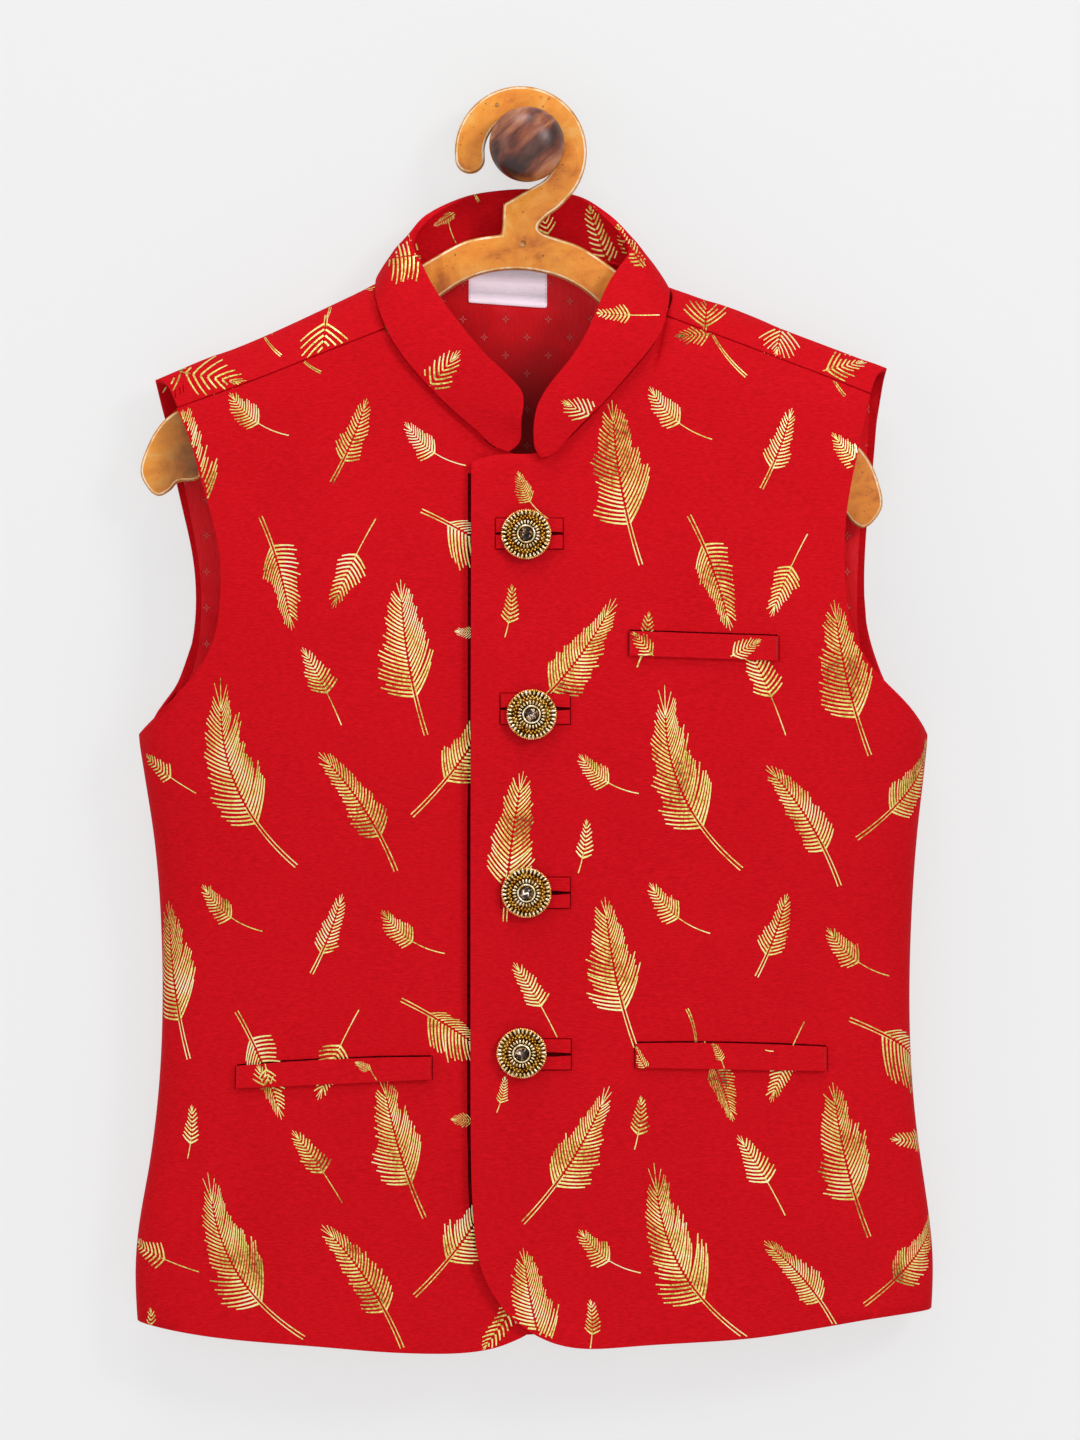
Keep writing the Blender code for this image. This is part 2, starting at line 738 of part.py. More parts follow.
def back_grid(columns, rows, hem_lift, top_drop):
    """Points (x, z) of the back; rows run from -1 at the hem, over 0 at the underarm, to 1 at the top.

    The last row lies top_drop under the top line.
    """
    count = len(rows)
    x = np.zeros((len(columns), count))
    z = np.zeros_like(x)
    for i, share in enumerate(columns):
        tip_left, tip_right = column(TOP_LINE, "x")[0], column(TOP_LINE, "x")[-1]
        x_top = -share * tip_left if share < 0 else share * tip_right
        z_top = read(TOP_LINE, "z", x_top) - top_drop(x_top)
        bottom_left, bottom_right = back_edges(np.array(HEM_CORNER))
        x_low = -share * bottom_left if share < 0 else share * bottom_right
        z_low = hem_height(x_low) + hem_lift
        below = z_low + (UNDERARM - z_low) * (rows + 1)
        z[i] = np.where(rows <= 0, below, UNDERARM + (z_top - UNDERARM) * rows)
        left, right = back_edges(z[i])
        reach = -left if share < 0 else right
        x[i] = share * reach
        blend = np.clip((z[i] - UNDERARM) / (z_top - UNDERARM), 0, 1)
        x[i] = x[i] * (1 - blend) + x_top * blend if abs(share) < 1 else x[i]
        x[i, -1] = x_top
    return x, z


def back_panel(coat):
    """The back, which runs up from its hem, over the shoulder ridge and down to the shoulder seam."""
    columns = back_columns()
    rows = back_rows()
    x, z = back_grid(columns, rows, BACK_HEM_LIFT, lambda at: 0.0)
    outer = np.full((len(columns), BACK_UP + 1 + SHOULDER_ROWS, 3), np.nan)
    outer[:, : BACK_UP + 1] = place(x, back_depth(x, z), z)
    present = np.zeros(outer.shape[:2], bool)
    present[:, : BACK_UP + 1] = True
    fixed = np.full(outer.shape, np.nan)
    seam_rows = np.zeros((len(columns), BACK_UP + 1), bool)
    seam_rows[0] = z[0] <= UNDERARM
    seam_rows[-1] = z[-1] <= UNDERARM
    for edge, silhouette, sign in ((0, "left", -1), (-1, "right", 1)):
        which = np.flatnonzero(seam_rows[edge])
        outer[edge, which, 0] = read(LEVELS, silhouette, z[edge, which])
        outer[edge, which, 1] = -read(LEVELS, "seam", z[edge, which]) + SEAM_GAP / 2
        fixed[edge, which] = (sign, 0, 0)
    left_neck, right_neck = SHOULDER_COLUMNS, BACK_ACROSS - SHOULDER_COLUMNS
    left_seam = column(RIGHT_FRONT_SEAM, "x")
    right_seam = column(LEFT_FRONT_SEAM, "x")
    for i in range(BACK_ACROSS + 1):
        if left_neck < i < right_neck:
            continue
        ridge_x = x[i, -1]
        if i <= left_neck:
            tip_x, neck_x = x[0, -1], x[left_neck, -1]
            seam_tip, seam_neck = left_seam[0], left_seam[-1]
        else:
            tip_x, neck_x = x[-1, -1], x[right_neck, -1]
            seam_tip, seam_neck = right_seam[-1], right_seam[0]
        share = (ridge_x - neck_x) / (tip_x - neck_x)
        seam_x = seam_neck + (seam_tip - seam_neck) * share
        seam_z = float(shoulder_seam(np.array(seam_x))) + SEAM_GAP
        for j in range(1, SHOULDER_ROWS + 1):
            part = j / SHOULDER_ROWS
            at_x = ridge_x + (seam_x - ridge_x) * part
            at_x += math.copysign(NECK_BULGE, ridge_x) * math.sin(math.pi * part) * (1 - share)
            ridge_here = float(read(RIDGE_LINE, "z", at_x))
            at_z = ridge_here + (seam_z - ridge_here) * part**2
            outer[i, BACK_UP + j] = place(at_x, front_depth(np.array(at_x), np.array(at_z)), at_z)
            present[i, BACK_UP + j] = True
        fixed[i, -1] = slope_normals(front_depth, np.array(seam_x), np.array(seam_z), -1)
    return cloth("back", outer, BACK_WALL, coat, (0, 1, 0), present=present, fixed=fixed)


def back_lining(coat):
    """The satin lining inside the back, from under the neck seam to just above the hem."""
    columns = back_columns() * LINING_SHARE
    rows = back_rows()
    x, z = back_grid(columns, rows, BACK_HEM_LIFT + LINING_HEM, lining_drop)
    return laid("back_lining", back_depth, x, z, BACK_WALL + LINING_GAP, LINING_WALL, coat)


def lining_drop(x):
    """How far the lining's top lies under the back's: less at the neck, more under the shoulders."""
    return LINING_NECK + (LINING_SHOULDER - LINING_NECK) * min(abs(x) / NECK_HALF, 1.0) ** 2


def collar_band(coat):
    """The band collar: it rises from the neck seam, and its two front ends are rounded."""
    stations = rows_of(COLLAR)
    low = []
    for station in stations:
        x, z = np.array(station["low_x"]), np.array(station["low_z"])
        if station["place"] == "left":
            depth = right_front_depth(x, z)
        elif station["place"] == "right":
            depth = front_depth(x, z)
        elif station["place"] == "ridge":
            depth = RIDGE_DEPTH
        else:
            depth = back_top_depth(x)
        low.append((float(x), -float(depth), float(z)))
    low = np.array(low)
    top = np.array([(s["top_x"], -s["top_depth"], s["top_z"]) for s in stations])
    run = np.concatenate([[0], np.cumsum(np.linalg.norm(np.diff(low, axis=0), axis=1))])
    at = np.linspace(0, run[-1], COLLAR_AROUND + 1)
    low_line = np.column_stack([hermite(run, low[:, k], at) for k in range(3)])
    top_line = np.column_stack([hermite(run, top[:, k], at) for k in range(3)])
    rise = top_line - low_line
    rise /= np.linalg.norm(rise, axis=1, keepdims=True)
    low_line = low_line + rise * COLLAR_SEAM_GAP
    up = np.linspace(0, 1, COLLAR_UP + 1)
    grid = low_line[:, None] * (1 - up)[None, :, None] + top_line[:, None] * up[None, :, None]
    sideways = np.gradient(low_line, axis=0)
    out = np.cross(sideways, rise)
    out /= np.linalg.norm(out, axis=1, keepdims=True)
    middle = len(out) // 2
    if out[middle, 1] < 0:
        out = -out
    bow = COLLAR_BOW * np.sin(math.pi * up)
    grid = grid + out[:, None] * bow[None, :, None]
    for end, step in ((0, 1), (-1, -1)):
        # the end edge bulges and its two corners draw in
        along = grid[end + step] - grid[end]
        along /= np.linalg.norm(along, axis=1, keepdims=True)
        draw = COLLAR_END_ROUND * np.abs(2 * up - 1) ** 3
        grid[end] += along * draw[:, None]
    return cloth("collar", grid, COLLAR_WALL, coat, tuple(out[middle]))


def welt(row, depth, coat):
    share = np.linspace(0, 1, WELT_ACROSS + 1)[:, None]
    up = np.linspace(0, 1, 3)[None, :]
    x = row["left_x"] + (row["right_x"] - row["left_x"]) * share + 0 * up
    top = row["left_z"] + (row["right_z"] - row["left_z"]) * share
    z = top - row["height"] + up * row["height"] + row["arch"] * np.sin(math.pi * share) * up
    return laid(row["name"], depth, x, z, SEAM_GAP, WELT_WALL, coat)


def buttonhole(number, row, coat):
    """The two lips of a bound buttonhole, with the slit between them."""
    share = np.linspace(0, 1, 6)[:, None]
    up = np.linspace(0, 1, 3)[None, :]
    x = row["hole_left"] + (row["hole_right"] - row["hole_left"]) * share + 0 * up
    for side, name in ((1, "upper"), (-1, "lower")):
        near = row["slit_z"] + side * SEAM_GAP / 2
        z = near + side * LIP_HEIGHT * up + 0 * x
        laid(f"buttonhole_{name}_{number}", front_depth, x, z, SEAM_GAP, LIP_WALL, coat)


def button(number, row, metal, glass):
    lift = 2 * SEAM_GAP + LIP_WALL
    frame = frame_on(front_depth, row["button_x"], row["button_z"], lift)
    section = [(r["radius"], r["height"]) for r in rows_of(BUTTON_SECTION)]
    turned(f"button_{number}", section, BUTTON_SEGMENTS, metal, frame)
    seat = section[-1][1] + SEAM_GAP
    dome = [(0.0, 0.0)]
    for k in range(STONE_RINGS):
        angle = math.pi / 2 * k / STONE_RINGS
        dome.append((STONE_RADIUS * math.cos(angle), 0.6 + STONE_HEIGHT * math.sin(angle)))
    dome.insert(1, (STONE_RADIUS, 0.0))
    dome.append((0.0, 0.6 + STONE_HEIGHT))
    raised = frame @ Matrix.Translation((0, 0, seat))
    turned(f"button_stone_{number}", dome, STONE_SEGMENTS, glass, raised)


def neck_label(coat):
    share = np.linspace(0, 1, LABEL_ACROSS + 1)[:, None]
    down = np.linspace(0, 1, LABEL_DOWN + 1)[None, :]
    x = LABEL_LEFT + (LABEL_RIGHT - LABEL_LEFT) * share + 0 * down
    foot = LABEL_FOOT_LEFT + (LABEL_FOOT_RIGHT - LABEL_FOOT_LEFT) * share
    z = LABEL_TOP + (foot - LABEL_TOP) * down

    lift = BACK_WALL + LINING_GAP + LINING_WALL + SEAM_GAP
    return laid("neck_label", back_depth, x, z, lift, LABEL_WALL, coat)


# ---------------------------------------------------------------- hanger and knob


def arc(radius, start, end, count):
    angles = np.linspace(start, end, count)
    return [(HOOK_X + radius * math.cos(a), HOOK_Z + radius * math.sin(a)) for a in angles]


def hanger_outline():
    """Outline (x, z) of the board: hook, stem and two arms, which hang turned about the knob."""

    def turn(point, angle):
        x, z = point
        return (x * math.cos(angle) - z * math.sin(angle), x * math.sin(angle) + z * math.cos(angle))

    top = [(row["reach"], row["z"]) for row in rows_of(ARM_TOP)]
    under = [(row["reach"], row["z"]) for row in rows_of(ARM_UNDER)]
    right_arm = top + list(ARM_END) + list(ARM_FOOT)[:-1] + under
    left_arm = [(-reach, z) for reach, z in reversed(right_arm)][1:]
    arms = [turn(point, HANGER_TILT) for point in right_arm + left_arm]
    outer = arc(HOOK_OUTER, HOOK_TIP_ANGLE, HOOK_FOOT_OUTER, HOOK_STEPS)
    inner = arc(HOOK_INNER, HOOK_FOOT_INNER, HOOK_TIP_ANGLE, HOOK_STEPS)
    tip_middle = (HOOK_OUTER + HOOK_INNER) / 2
    tip_radius = (HOOK_OUTER - HOOK_INNER) / 2
    centre_x = HOOK_X + tip_middle * math.cos(HOOK_TIP_ANGLE)
    centre_z = HOOK_Z + tip_middle * math.sin(HOOK_TIP_ANGLE)
    tip = []
    for k in range(1, 8):
        angle = HOOK_TIP_ANGLE + math.pi - math.pi * k / 8
        tip.append((centre_x + tip_radius * math.cos(angle), centre_z + tip_radius * math.sin(angle)))
    return outer + list(STEM_RIGHT) + arms + list(reversed(STEM_LEFT)) + inner + tip


def hanger(coat):
    """The board is one outline, extruded to its thickness with its edges rounded over."""
    mesh = bpy.data.meshes.new("hanger")
    builder = bmesh.new()
    corners = [builder.verts.new((x * MM, -HANGER_FAR * MM, z * MM)) for x, z in hanger_outline()]
    face = builder.faces.new(corners)
    extruded = bmesh.ops.extrude_face_region(builder, geom=[face])
    moved = [item for item in extruded["geom"] if isinstance(item, bmesh.types.BMVert)]
    bmesh.ops.translate(builder, verts=moved, vec=(0, (HANGER_FAR - HANGER_NEAR) * MM, 0))
    bmesh.ops.recalc_face_normals(builder, faces=builder.faces)
    rims = [
        edge
        for edge in builder.edges
        if abs(edge.verts[0].co.y - edge.verts[1].co.y) < 1e-7
    ]
    bmesh.ops.bevel(
        builder, geom=rims, offset=HANGER_EDGE * MM, segments=2, profile=0.5, affect="EDGES",
        clamp_overlap=True,
    )
    builder.to_mesh(mesh)
    builder.free()
    return add_object("hanger", mesh, coat)


def wall_knob(coat):
    section = [(r["radius"], r["depth"]) for r in rows_of(KNOB_SECTION)]
    towards_room = Matrix.Rotation(math.radians(90), 4, "X")
    return turned("wall_knob", section, KNOB_SEGMENTS, coat, towards_room)


def build():
    for old in list(bpy.data.objects):
        bpy.data.objects.remove(old)
    brocade = material("red_brocade", (0.58, 0.012, 0.02), 0.62)
    satin = material("lining_satin", (0.33, 0.01, 0.025), 0.38)
    gold = material("antique_gold", (0.52, 0.35, 0.14), 0.34, 1.0)
    stone = material("button_stone", (0.36, 0.2, 0.12), 0.08)
    label = material("label_satin", (0.75, 0.7, 0.82), 0.4)
    plywood = material("amber_plywood", (0.66, 0.33, 0.1), 0.45)
    walnut = material("dark_walnut", (0.12, 0.05, 0.022), 0.3)
    front_panel(
        "right_front", right_front_depth, "left", "left_front",
        RIGHT_FRONT_HEM, RIGHT_FRONT_SEAM, RIGHT_FRONT_NECK, RIGHT_FRONT_EDGE, brocade,
    )
    front_panel(
        "left_front", front_depth, "right", "right_front",
        LEFT_FRONT_HEM, LEFT_FRONT_SEAM, LEFT_FRONT_NECK, LEFT_FRONT_EDGE, brocade,
    )
    back_panel(brocade)
    back_lining(satin)
    collar_band(brocade)
    for row in rows_of(WELTS):
        welt(row, front_depth, brocade)
    for number, row in enumerate(rows_of(BUTTONS), start=1):
        buttonhole(number, row, brocade)
        button(number, row, gold, stone)
    neck_label(label)
    hanger(plywood)
    wall_knob(walnut)


build()
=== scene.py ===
import math
import random

import bmesh
import bpy
import numpy as np
from mathutils import Matrix, Vector
from mathutils.bvhtree import BVHTree


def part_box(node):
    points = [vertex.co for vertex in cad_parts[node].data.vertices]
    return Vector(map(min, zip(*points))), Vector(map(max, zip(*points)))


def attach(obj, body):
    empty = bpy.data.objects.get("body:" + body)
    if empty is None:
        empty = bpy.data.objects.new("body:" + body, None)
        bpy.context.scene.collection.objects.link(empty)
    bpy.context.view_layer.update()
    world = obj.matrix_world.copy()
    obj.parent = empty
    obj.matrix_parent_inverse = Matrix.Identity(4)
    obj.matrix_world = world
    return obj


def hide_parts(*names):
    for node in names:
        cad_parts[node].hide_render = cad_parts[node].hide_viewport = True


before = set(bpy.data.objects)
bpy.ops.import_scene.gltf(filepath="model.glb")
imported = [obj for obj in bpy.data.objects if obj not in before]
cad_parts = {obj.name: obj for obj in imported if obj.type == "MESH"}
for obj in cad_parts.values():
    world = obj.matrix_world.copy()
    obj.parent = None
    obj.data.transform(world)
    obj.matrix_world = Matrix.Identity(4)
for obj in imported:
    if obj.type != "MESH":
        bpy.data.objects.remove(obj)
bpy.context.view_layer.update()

mm = 0.001
draws = random.Random(24)
print("frame loaded:", len(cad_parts), "nodes")


# shared hand tools

def linked(name, data):
    made = bpy.data.objects.new(name, data)
    bpy.context.scene.collection.objects.link(made)
    return made


def selectOnly(*pieces):
    bpy.ops.object.select_all(action="DESELECT")
    for piece in pieces:
        piece.select_set(True)
    bpy.context.view_layer.objects.active = pieces[0]


def shaped(operator, **settings):
    # a ready shape, made by the operator
    bpy.ops.object.select_all(action="DESELECT")
    operator(**settings)
    return bpy.context.active_object


def startEdit(piece, action="SELECT"):
    selectOnly(piece)
    bpy.ops.object.mode_set(mode="EDIT")
    bpy.ops.mesh.select_all(action=action)


def leaveEdit():
    bpy.ops.object.mode_set(mode="OBJECT")


def editChosen(piece, kind, chosen):
    # edit mode with the chosen faces or edges selected, and nothing else
    startEdit(piece, "DESELECT")
    leaveEdit()
    for part in getattr(piece.data, kind):
        part.select = chosen(part)
    bpy.ops.object.mode_set(mode="EDIT")


def faceOutward(piece):
    startEdit(piece)
    bpy.ops.mesh.normals_make_consistent(inside=False)
    leaveEdit()


def copyNode(nodeName, pieceName, merge=0.02, faceTurn=60, shapeTurn=80):
    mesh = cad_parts[nodeName].data.copy()
    mesh.materials.clear()
    piece = linked(pieceName, mesh)
    startEdit(piece)
    bpy.ops.mesh.customdata_custom_splitnormals_clear()
    bpy.ops.mesh.remove_doubles(threshold=merge * mm)
    bpy.ops.mesh.tris_convert_to_quads(face_threshold=math.radians(faceTurn),
                                       shape_threshold=math.radians(shapeTurn))
    leaveEdit()
    faceOutward(piece)
    return piece


def smoothShade(piece, angle):
    selectOnly(piece)
    bpy.ops.object.shade_smooth_by_angle(angle=math.radians(angle))


def softened(nodeName, pieceName, finish, sharp, crease, levels):
    # a node's shape subdivided; edges that turn by more than sharp degrees keep part of their corner
    piece = copyNode(nodeName, pieceName)
    mesh = bmesh.new()
    mesh.from_mesh(piece.data)
    layer = mesh.edges.layers.float.get("crease_edge") or mesh.edges.layers.float.new("crease_edge")
    for edge in mesh.edges:
        if edge.is_manifold and edge.calc_face_angle(0) > math.radians(sharp):
            edge[layer] = crease
    mesh.to_mesh(piece.data)
    mesh.free()
    modifier = piece.modifiers.new("Subdivision", "SUBSURF")
    modifier.levels = modifier.render_levels = levels
    selectOnly(piece)
    bpy.ops.object.modifier_apply(modifier=modifier.name)
    piece.data.materials.append(finish)
    return piece


def pointsOf(piece):
    points = np.empty(len(piece.data.vertices) * 3)
    piece.data.vertices.foreach_get("co", points)
    return points.reshape(-1, 3)


def setPoints(piece, points):
    piece.data.vertices.foreach_set("co", points.ravel())
    piece.data.update()


def movePoints(piece, change):
    # change gets the points' x, y and z in millimetres and gives what each of the three gains
    points = pointsOf(piece)
    for axis, gain in enumerate(change(*(points / mm).T)):
        points[:, axis] += gain * mm
    setPoints(piece, points)


def finishPiece(piece, nodeNames, slotName, finish=None, angle=0):
    if finish:
        piece.data.materials.append(finish)
    if angle:
        smoothShade(piece, angle)
    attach(piece, "root")
    if nodeNames:
        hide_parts(*nodeNames)


def joinPieces(parts, name):
    selectOnly(*parts)
    bpy.ops.object.join()
    joined = bpy.context.view_layer.objects.active
    joined.name = name
    bpy.ops.object.transform_apply(location=True, rotation=True, scale=True)
    return joined


def meshPiece(name, points, faces):
    mesh = bpy.data.meshes.new(name)
    mesh.from_pydata([tuple(p) for p in points], [], faces)
    mesh.update()
    return linked(name, mesh)


# material tools: values and other nodes' outputs go in, in the tree those outputs belong to

def linear(level):
    level /= 255
    return level / 12.92 if level < 0.04045 else ((level + 0.055) / 1.055) ** 2.4


def rgb(red, green, blue):
    return (linear(red), linear(green), linear(blue), 1)


def grey(level):
    return (level, level, level, 1)


def isOutput(value):
    return isinstance(value, bpy.types.NodeSocket)


def feed(node, inputs):
    for name, value in inputs.items():
        if isOutput(value):
            value.id_data.links.new(value, node.inputs[name])
        else:
            node.inputs[name].default_value = value


def addNode(kind, inputs, tree=None, **settings):
    tree = tree or next(value.id_data for value in inputs.values() if isOutput(value))
    made = tree.nodes.new("ShaderNode" + kind)
    for name, value in settings.items():
        setattr(made, name, value)
    feed(made, inputs)
    return made


def finishOf(name, plain):
    # turns the look written under it, which gives the inputs that vary from place to place, into a finish
    def made(look):
        material = bpy.data.materials.new(name)
        material.use_nodes = True
        shader = material.node_tree.nodes["Principled BSDF"]
        place = addNode("TexCoord", {}, material.node_tree).outputs["Object"]
        feed(shader, {**plain, **look(place)})
        return material
    return made


def stretched(place, scale, turn=(0, 0, 0)):
    # turned first and drawn out afterwards, so that the grain leans with the turn
    turned = addNode("Mapping", {"Vector": place, "Rotation": turn}).outputs["Vector"]
    return addNode("Mapping", {"Vector": turned, "Scale": scale}).outputs["Vector"]


def noiseOf(place, scale, detail=2, rough=0.5, twist=0):
    return addNode("TexNoise", {"Vector": place, "Scale": scale, "Detail": detail, "Roughness": rough,
                                "Distortion": twist}).outputs["Fac"]


def rampOf(factor, *stops):
    # each stop is a place and a grey level, or a place and three colour levels
    ramp = addNode("ValToRGB", {"Fac": factor})
    points = ramp.color_ramp.elements
    while len(points) < len(stops):
        points.new(0.5)
    for point, (place, *levels) in zip(points, stops):
        point.position = place
        point.color = rgb(*levels) if len(levels) == 3 else grey(*levels)
    return ramp.outputs["Color"]


def mixOf(factor, first, second, blend="MIX"):
    return addNode("Mix", {0: factor, 6: first, 7: second}, data_type="RGBA", blend_type=blend).outputs[2]


def mathOf(operation, *values):
    return addNode("Math", dict(enumerate(values)), operation=operation).outputs[0]


def timesOf(first, second):
    return mathOf("MULTIPLY", first, second)


def sumOf(*terms):
    # two terms added; a pair is an output and its weight
    return mathOf("ADD", *(timesOf(*term) if isinstance(term, tuple) else term for term in terms))


def rangeOf(value, start, end, low=0, high=1):
    return addNode("MapRange", {"Value": value, "From Min": start, "From Max": end,
                                "To Min": low, "To Max": high}).outputs[0]


def axesOf(place):
    return addNode("SeparateXYZ", {"Vector": place}).outputs


def bumpOf(height, distance, strength):
    return addNode("Bump", {"Height": height, "Distance": distance * mm, "Strength": strength}).outputs["Normal"]


def bandsOf(place, pitch, direction):
    # threads side by side along one axis, one each pitch
    return addNode("TexWave", {"Vector": place, "Scale": math.pi / (10 * pitch), "Distortion": 0.6, "Detail": 1,
                               "Detail Scale": 1.5}, wave_type="BANDS", bands_direction=direction).outputs["Fac"]


# finishes

weave = {"rib": 0.62 * mm, "warp": 0.42 * mm}


@finishOf("redCrepe", {"Roughness": 0.7, "Specular IOR Level": 0.05, "Sheen Weight": 0.08, "Sheen Roughness": 0.4,
                       "Sheen Tint": rgb(255, 40, 50)})
def redCloth(place):
    slubs = noiseOf(stretched(place, (420, 420, 1700)), 1, 3, 0.65)
    tone = sumOf((slubs, 0.88), (noiseOf(place, 22), 0.12))
    woven = sumOf((bandsOf(place, weave["rib"], "Z"), 0.6), (bandsOf(place, weave["warp"], "X"), 0.25))
    return {"Base Color": rampOf(tone, (0.34, 190, 8, 19), (0.5, 204, 11, 24), (0.68, 214, 17, 30)),
            "Normal": bumpOf(sumOf(woven, (slubs, 0.5)), 0.06, 0.7)}


# painted shade in the lining between the collar's two front ends: its middle, the distance within which it is darkest,
# where it has cleared, and the level left where it is darkest
paintedPitShade = {"middle": (-7 * mm, 0, -120 * mm), "dark": 10 * mm, "clear": 42 * mm, "left": 0.28}
lattice = {"wide": 18 * mm, "high": 7.6 * mm, "petal": 2.2 * mm, "rim": 0.7 * mm, "heart": 0.4 * mm, "slim": 2.6}


@finishOf("redSatin", {"Roughness": 0.36, "Specular IOR Level": 0.08, "Sheen Weight": 0.04, "Sheen Roughness": 0.3,
                       "Sheen Tint": rgb(255, 40, 50)})
def satinLining(place):
    # satin with a lattice of small woven stars, each with a darker outline
    split = axesOf(place)
    row = mathOf("DIVIDE", split["Z"], lattice["high"])
    column = sumOf(mathOf("DIVIDE", split["X"], lattice["wide"]), (mathOf("FLOOR", row), 0.5))
    across, along = (mathOf("ABSOLUTE", timesOf(mathOf("SUBTRACT", mathOf("FRACT", number), 0.5), size))
                     for number, size in ((column, lattice["wide"]), (row, lattice["high"])))
    reach = sumOf(across, along)
    pointed = sumOf(reach, (mathOf("MINIMUM", across, along), lattice["slim"]))
    cross = timesOf(mathOf("LESS_THAN", pointed, lattice["petal"]), mathOf("GREATER_THAN", reach, lattice["heart"]))
    outline = mathOf("LESS_THAN", pointed, lattice["petal"] + lattice["rim"])
    threads = noiseOf(stretched(place, (1900, 1900, 260)), 1, 2, 0.6)
    # painted sheen: broad soft highlights of the satin, drawn into its colour up to pale pink as well as into its bump
    paintedSheen = noiseOf(stretched(place, (26, 26, 12), (0, 0.5, 0)), 1, 2, 0.5, 0.6)
    ground = rampOf(sumOf((threads, 0.2), (paintedSheen, 0.8)), (0.36, 204, 8, 20), (0.5, 236, 16, 30),
                    (0.62, 250, 40, 50), (0.74, 255, 96, 98))
    ringed = mixOf(timesOf(outline, 0.55), ground, rgb(120, 2, 10))
    crossed = mixOf(timesOf(cross, 0.75), ringed, rgb(255, 92, 92))
    # painted shade: deep between the collar's two ends, where the satin lies in shade, its colour is darkened
    flat = addNode("CombineXYZ", {"X": split["X"], "Z": split["Z"]}).outputs[0]
    away = addNode("VectorMath", {0: flat, 1: paintedPitShade["middle"]}, operation="DISTANCE").outputs["Value"]
    lit = rangeOf(away, paintedPitShade["dark"], paintedPitShade["clear"], paintedPitShade["left"])
    dim = addNode("CombineColor", dict.fromkeys(("Red", "Green", "Blue"), lit)).outputs[0]
    return {"Base Color": mixOf(1, crossed, dim, "MULTIPLY"),
            "Normal": bumpOf(sumOf((threads, 0.03), paintedSheen), 2.2, 0.6)}


@finishOf("goldFoil", {"Specular IOR Level": 0.6, "Metallic": 0.3})
def foil(place):
    # printed foil: tone from brown to near white in patches and a fine grain, partly the foil's own unevenness and
    # partly painted reflection and glints; the cloth shows where it has flaked
    grain = noiseOf(place, 820, 3, 0.75)
    goldAndPaintedGlints = rampOf(sumOf((noiseOf(place, 52, 2, 0.5, 0.4), 0.5), (grain, 0.5)), (0.34, 104, 76, 16),
                  (0.43, 204, 174, 66), (0.49, 244, 228, 118), (0.55, 255, 250, 156), (0.62, 255, 255, 210))
    return {"Base Color": mixOf(rampOf(grain, (0.24, 0), (0.28, 1)), rgb(150, 16, 20), goldAndPaintedGlints),
            "Roughness": rampOf(grain, (0.3, 0.5), (0.7, 0.28)), "Normal": bumpOf(grain, 0.12, 0.5)}


def antiqueMetal(name, low, mid, high, rough):
    @finishOf(name, {"Metallic": 1, "Specular IOR Level": 0.6})
    def finish(place):
        fine = noiseOf(place, 2600, 2, 0.6)
        return {"Base Color": rampOf(noiseOf(place, 420, 2, 0.6), (0.32, *low), (0.5, *mid), (0.66, *high)),
                "Roughness": rampOf(fine, (0.3, rough + 0.15), (0.7, rough)), "Normal": bumpOf(fine, 0.1, 0.4)}
    return finish


buttonGold = antiqueMetal("antiqueGold", (176, 104, 22), (246, 184, 62), (255, 236, 150), 0.22)
buttonBright = antiqueMetal("brightGold", (186, 140, 66), (250, 230, 180), (255, 252, 240), 0.14)
# darkRecess: the disc under the beads, near black, partly the antique finish in its hollows and partly painted shade
# between the beads
buttonDark = antiqueMetal("darkRecess", (20, 11, 4), (64, 36, 10), (140, 92, 30), 0.45)
brass = antiqueMetal("bradBrass", (150, 96, 46), (204, 148, 84), (236, 196, 140), 0.5)


@finishOf("smokyCrystal", {"Roughness": 0.08, "IOR": 1.5, "Specular IOR Level": 0.35, "Coat Weight": 0.1,
                           "Coat Roughness": 0.03})
def crystal(place):
    # painted glints: cream, metallic flecks in the dark brown stone stand in for light thrown back by its facets
    toneAndPaintedGlints = noiseOf(place, 560, 2, 0.6, 1.2)
    return {"Base Color": rampOf(toneAndPaintedGlints, (0.42, 10, 5, 3), (0.52, 60, 32, 14), (0.58, 170, 120, 68),
                                 (0.64, 255, 246, 230)),
            "Metallic": rampOf(toneAndPaintedGlints, (0.56, 0), (0.64, 0.7))}


# painted light: the label glows with its own colour at a strength of 0.4, though it is no lamp
@finishOf("paleSatin", {"Roughness": 0.3, "Specular IOR Level": 0.6, "Sheen Weight": 0.2, "Sheen Roughness": 0.3,
                        "Emission Strength": 0.4})
def labelCloth(place):
    threads = noiseOf(stretched(place, (420, 420, 3000)), 1, 2, 0.6)
    yarns = rampOf(threads, (0.3, 242, 222, 238), (0.6, 252, 238, 250), (0.8, 255, 250, 255))
    # painted highlights: satin's long highlights, one level under another across the loop, drawn into both its colour
    # and its glow
    split = axesOf(place)
    level = rangeOf(sumOf(split["Z"], (split["X"], 0.06)), -69 * mm, -49 * mm)
    paintedHighlightBands = rampOf(level, (0.04, 0.5), (0.18, 1), (0.34, 0.6), (0.56, 1), (0.74, 0.56), (1, 0.42))
    paintedHighlightColour = mixOf(1, yarns, paintedHighlightBands, "MULTIPLY")
    return {"Base Color": paintedHighlightColour, "Emission Color": paintedHighlightColour, "Normal": bumpOf(threads, 0.05, 0.5)}


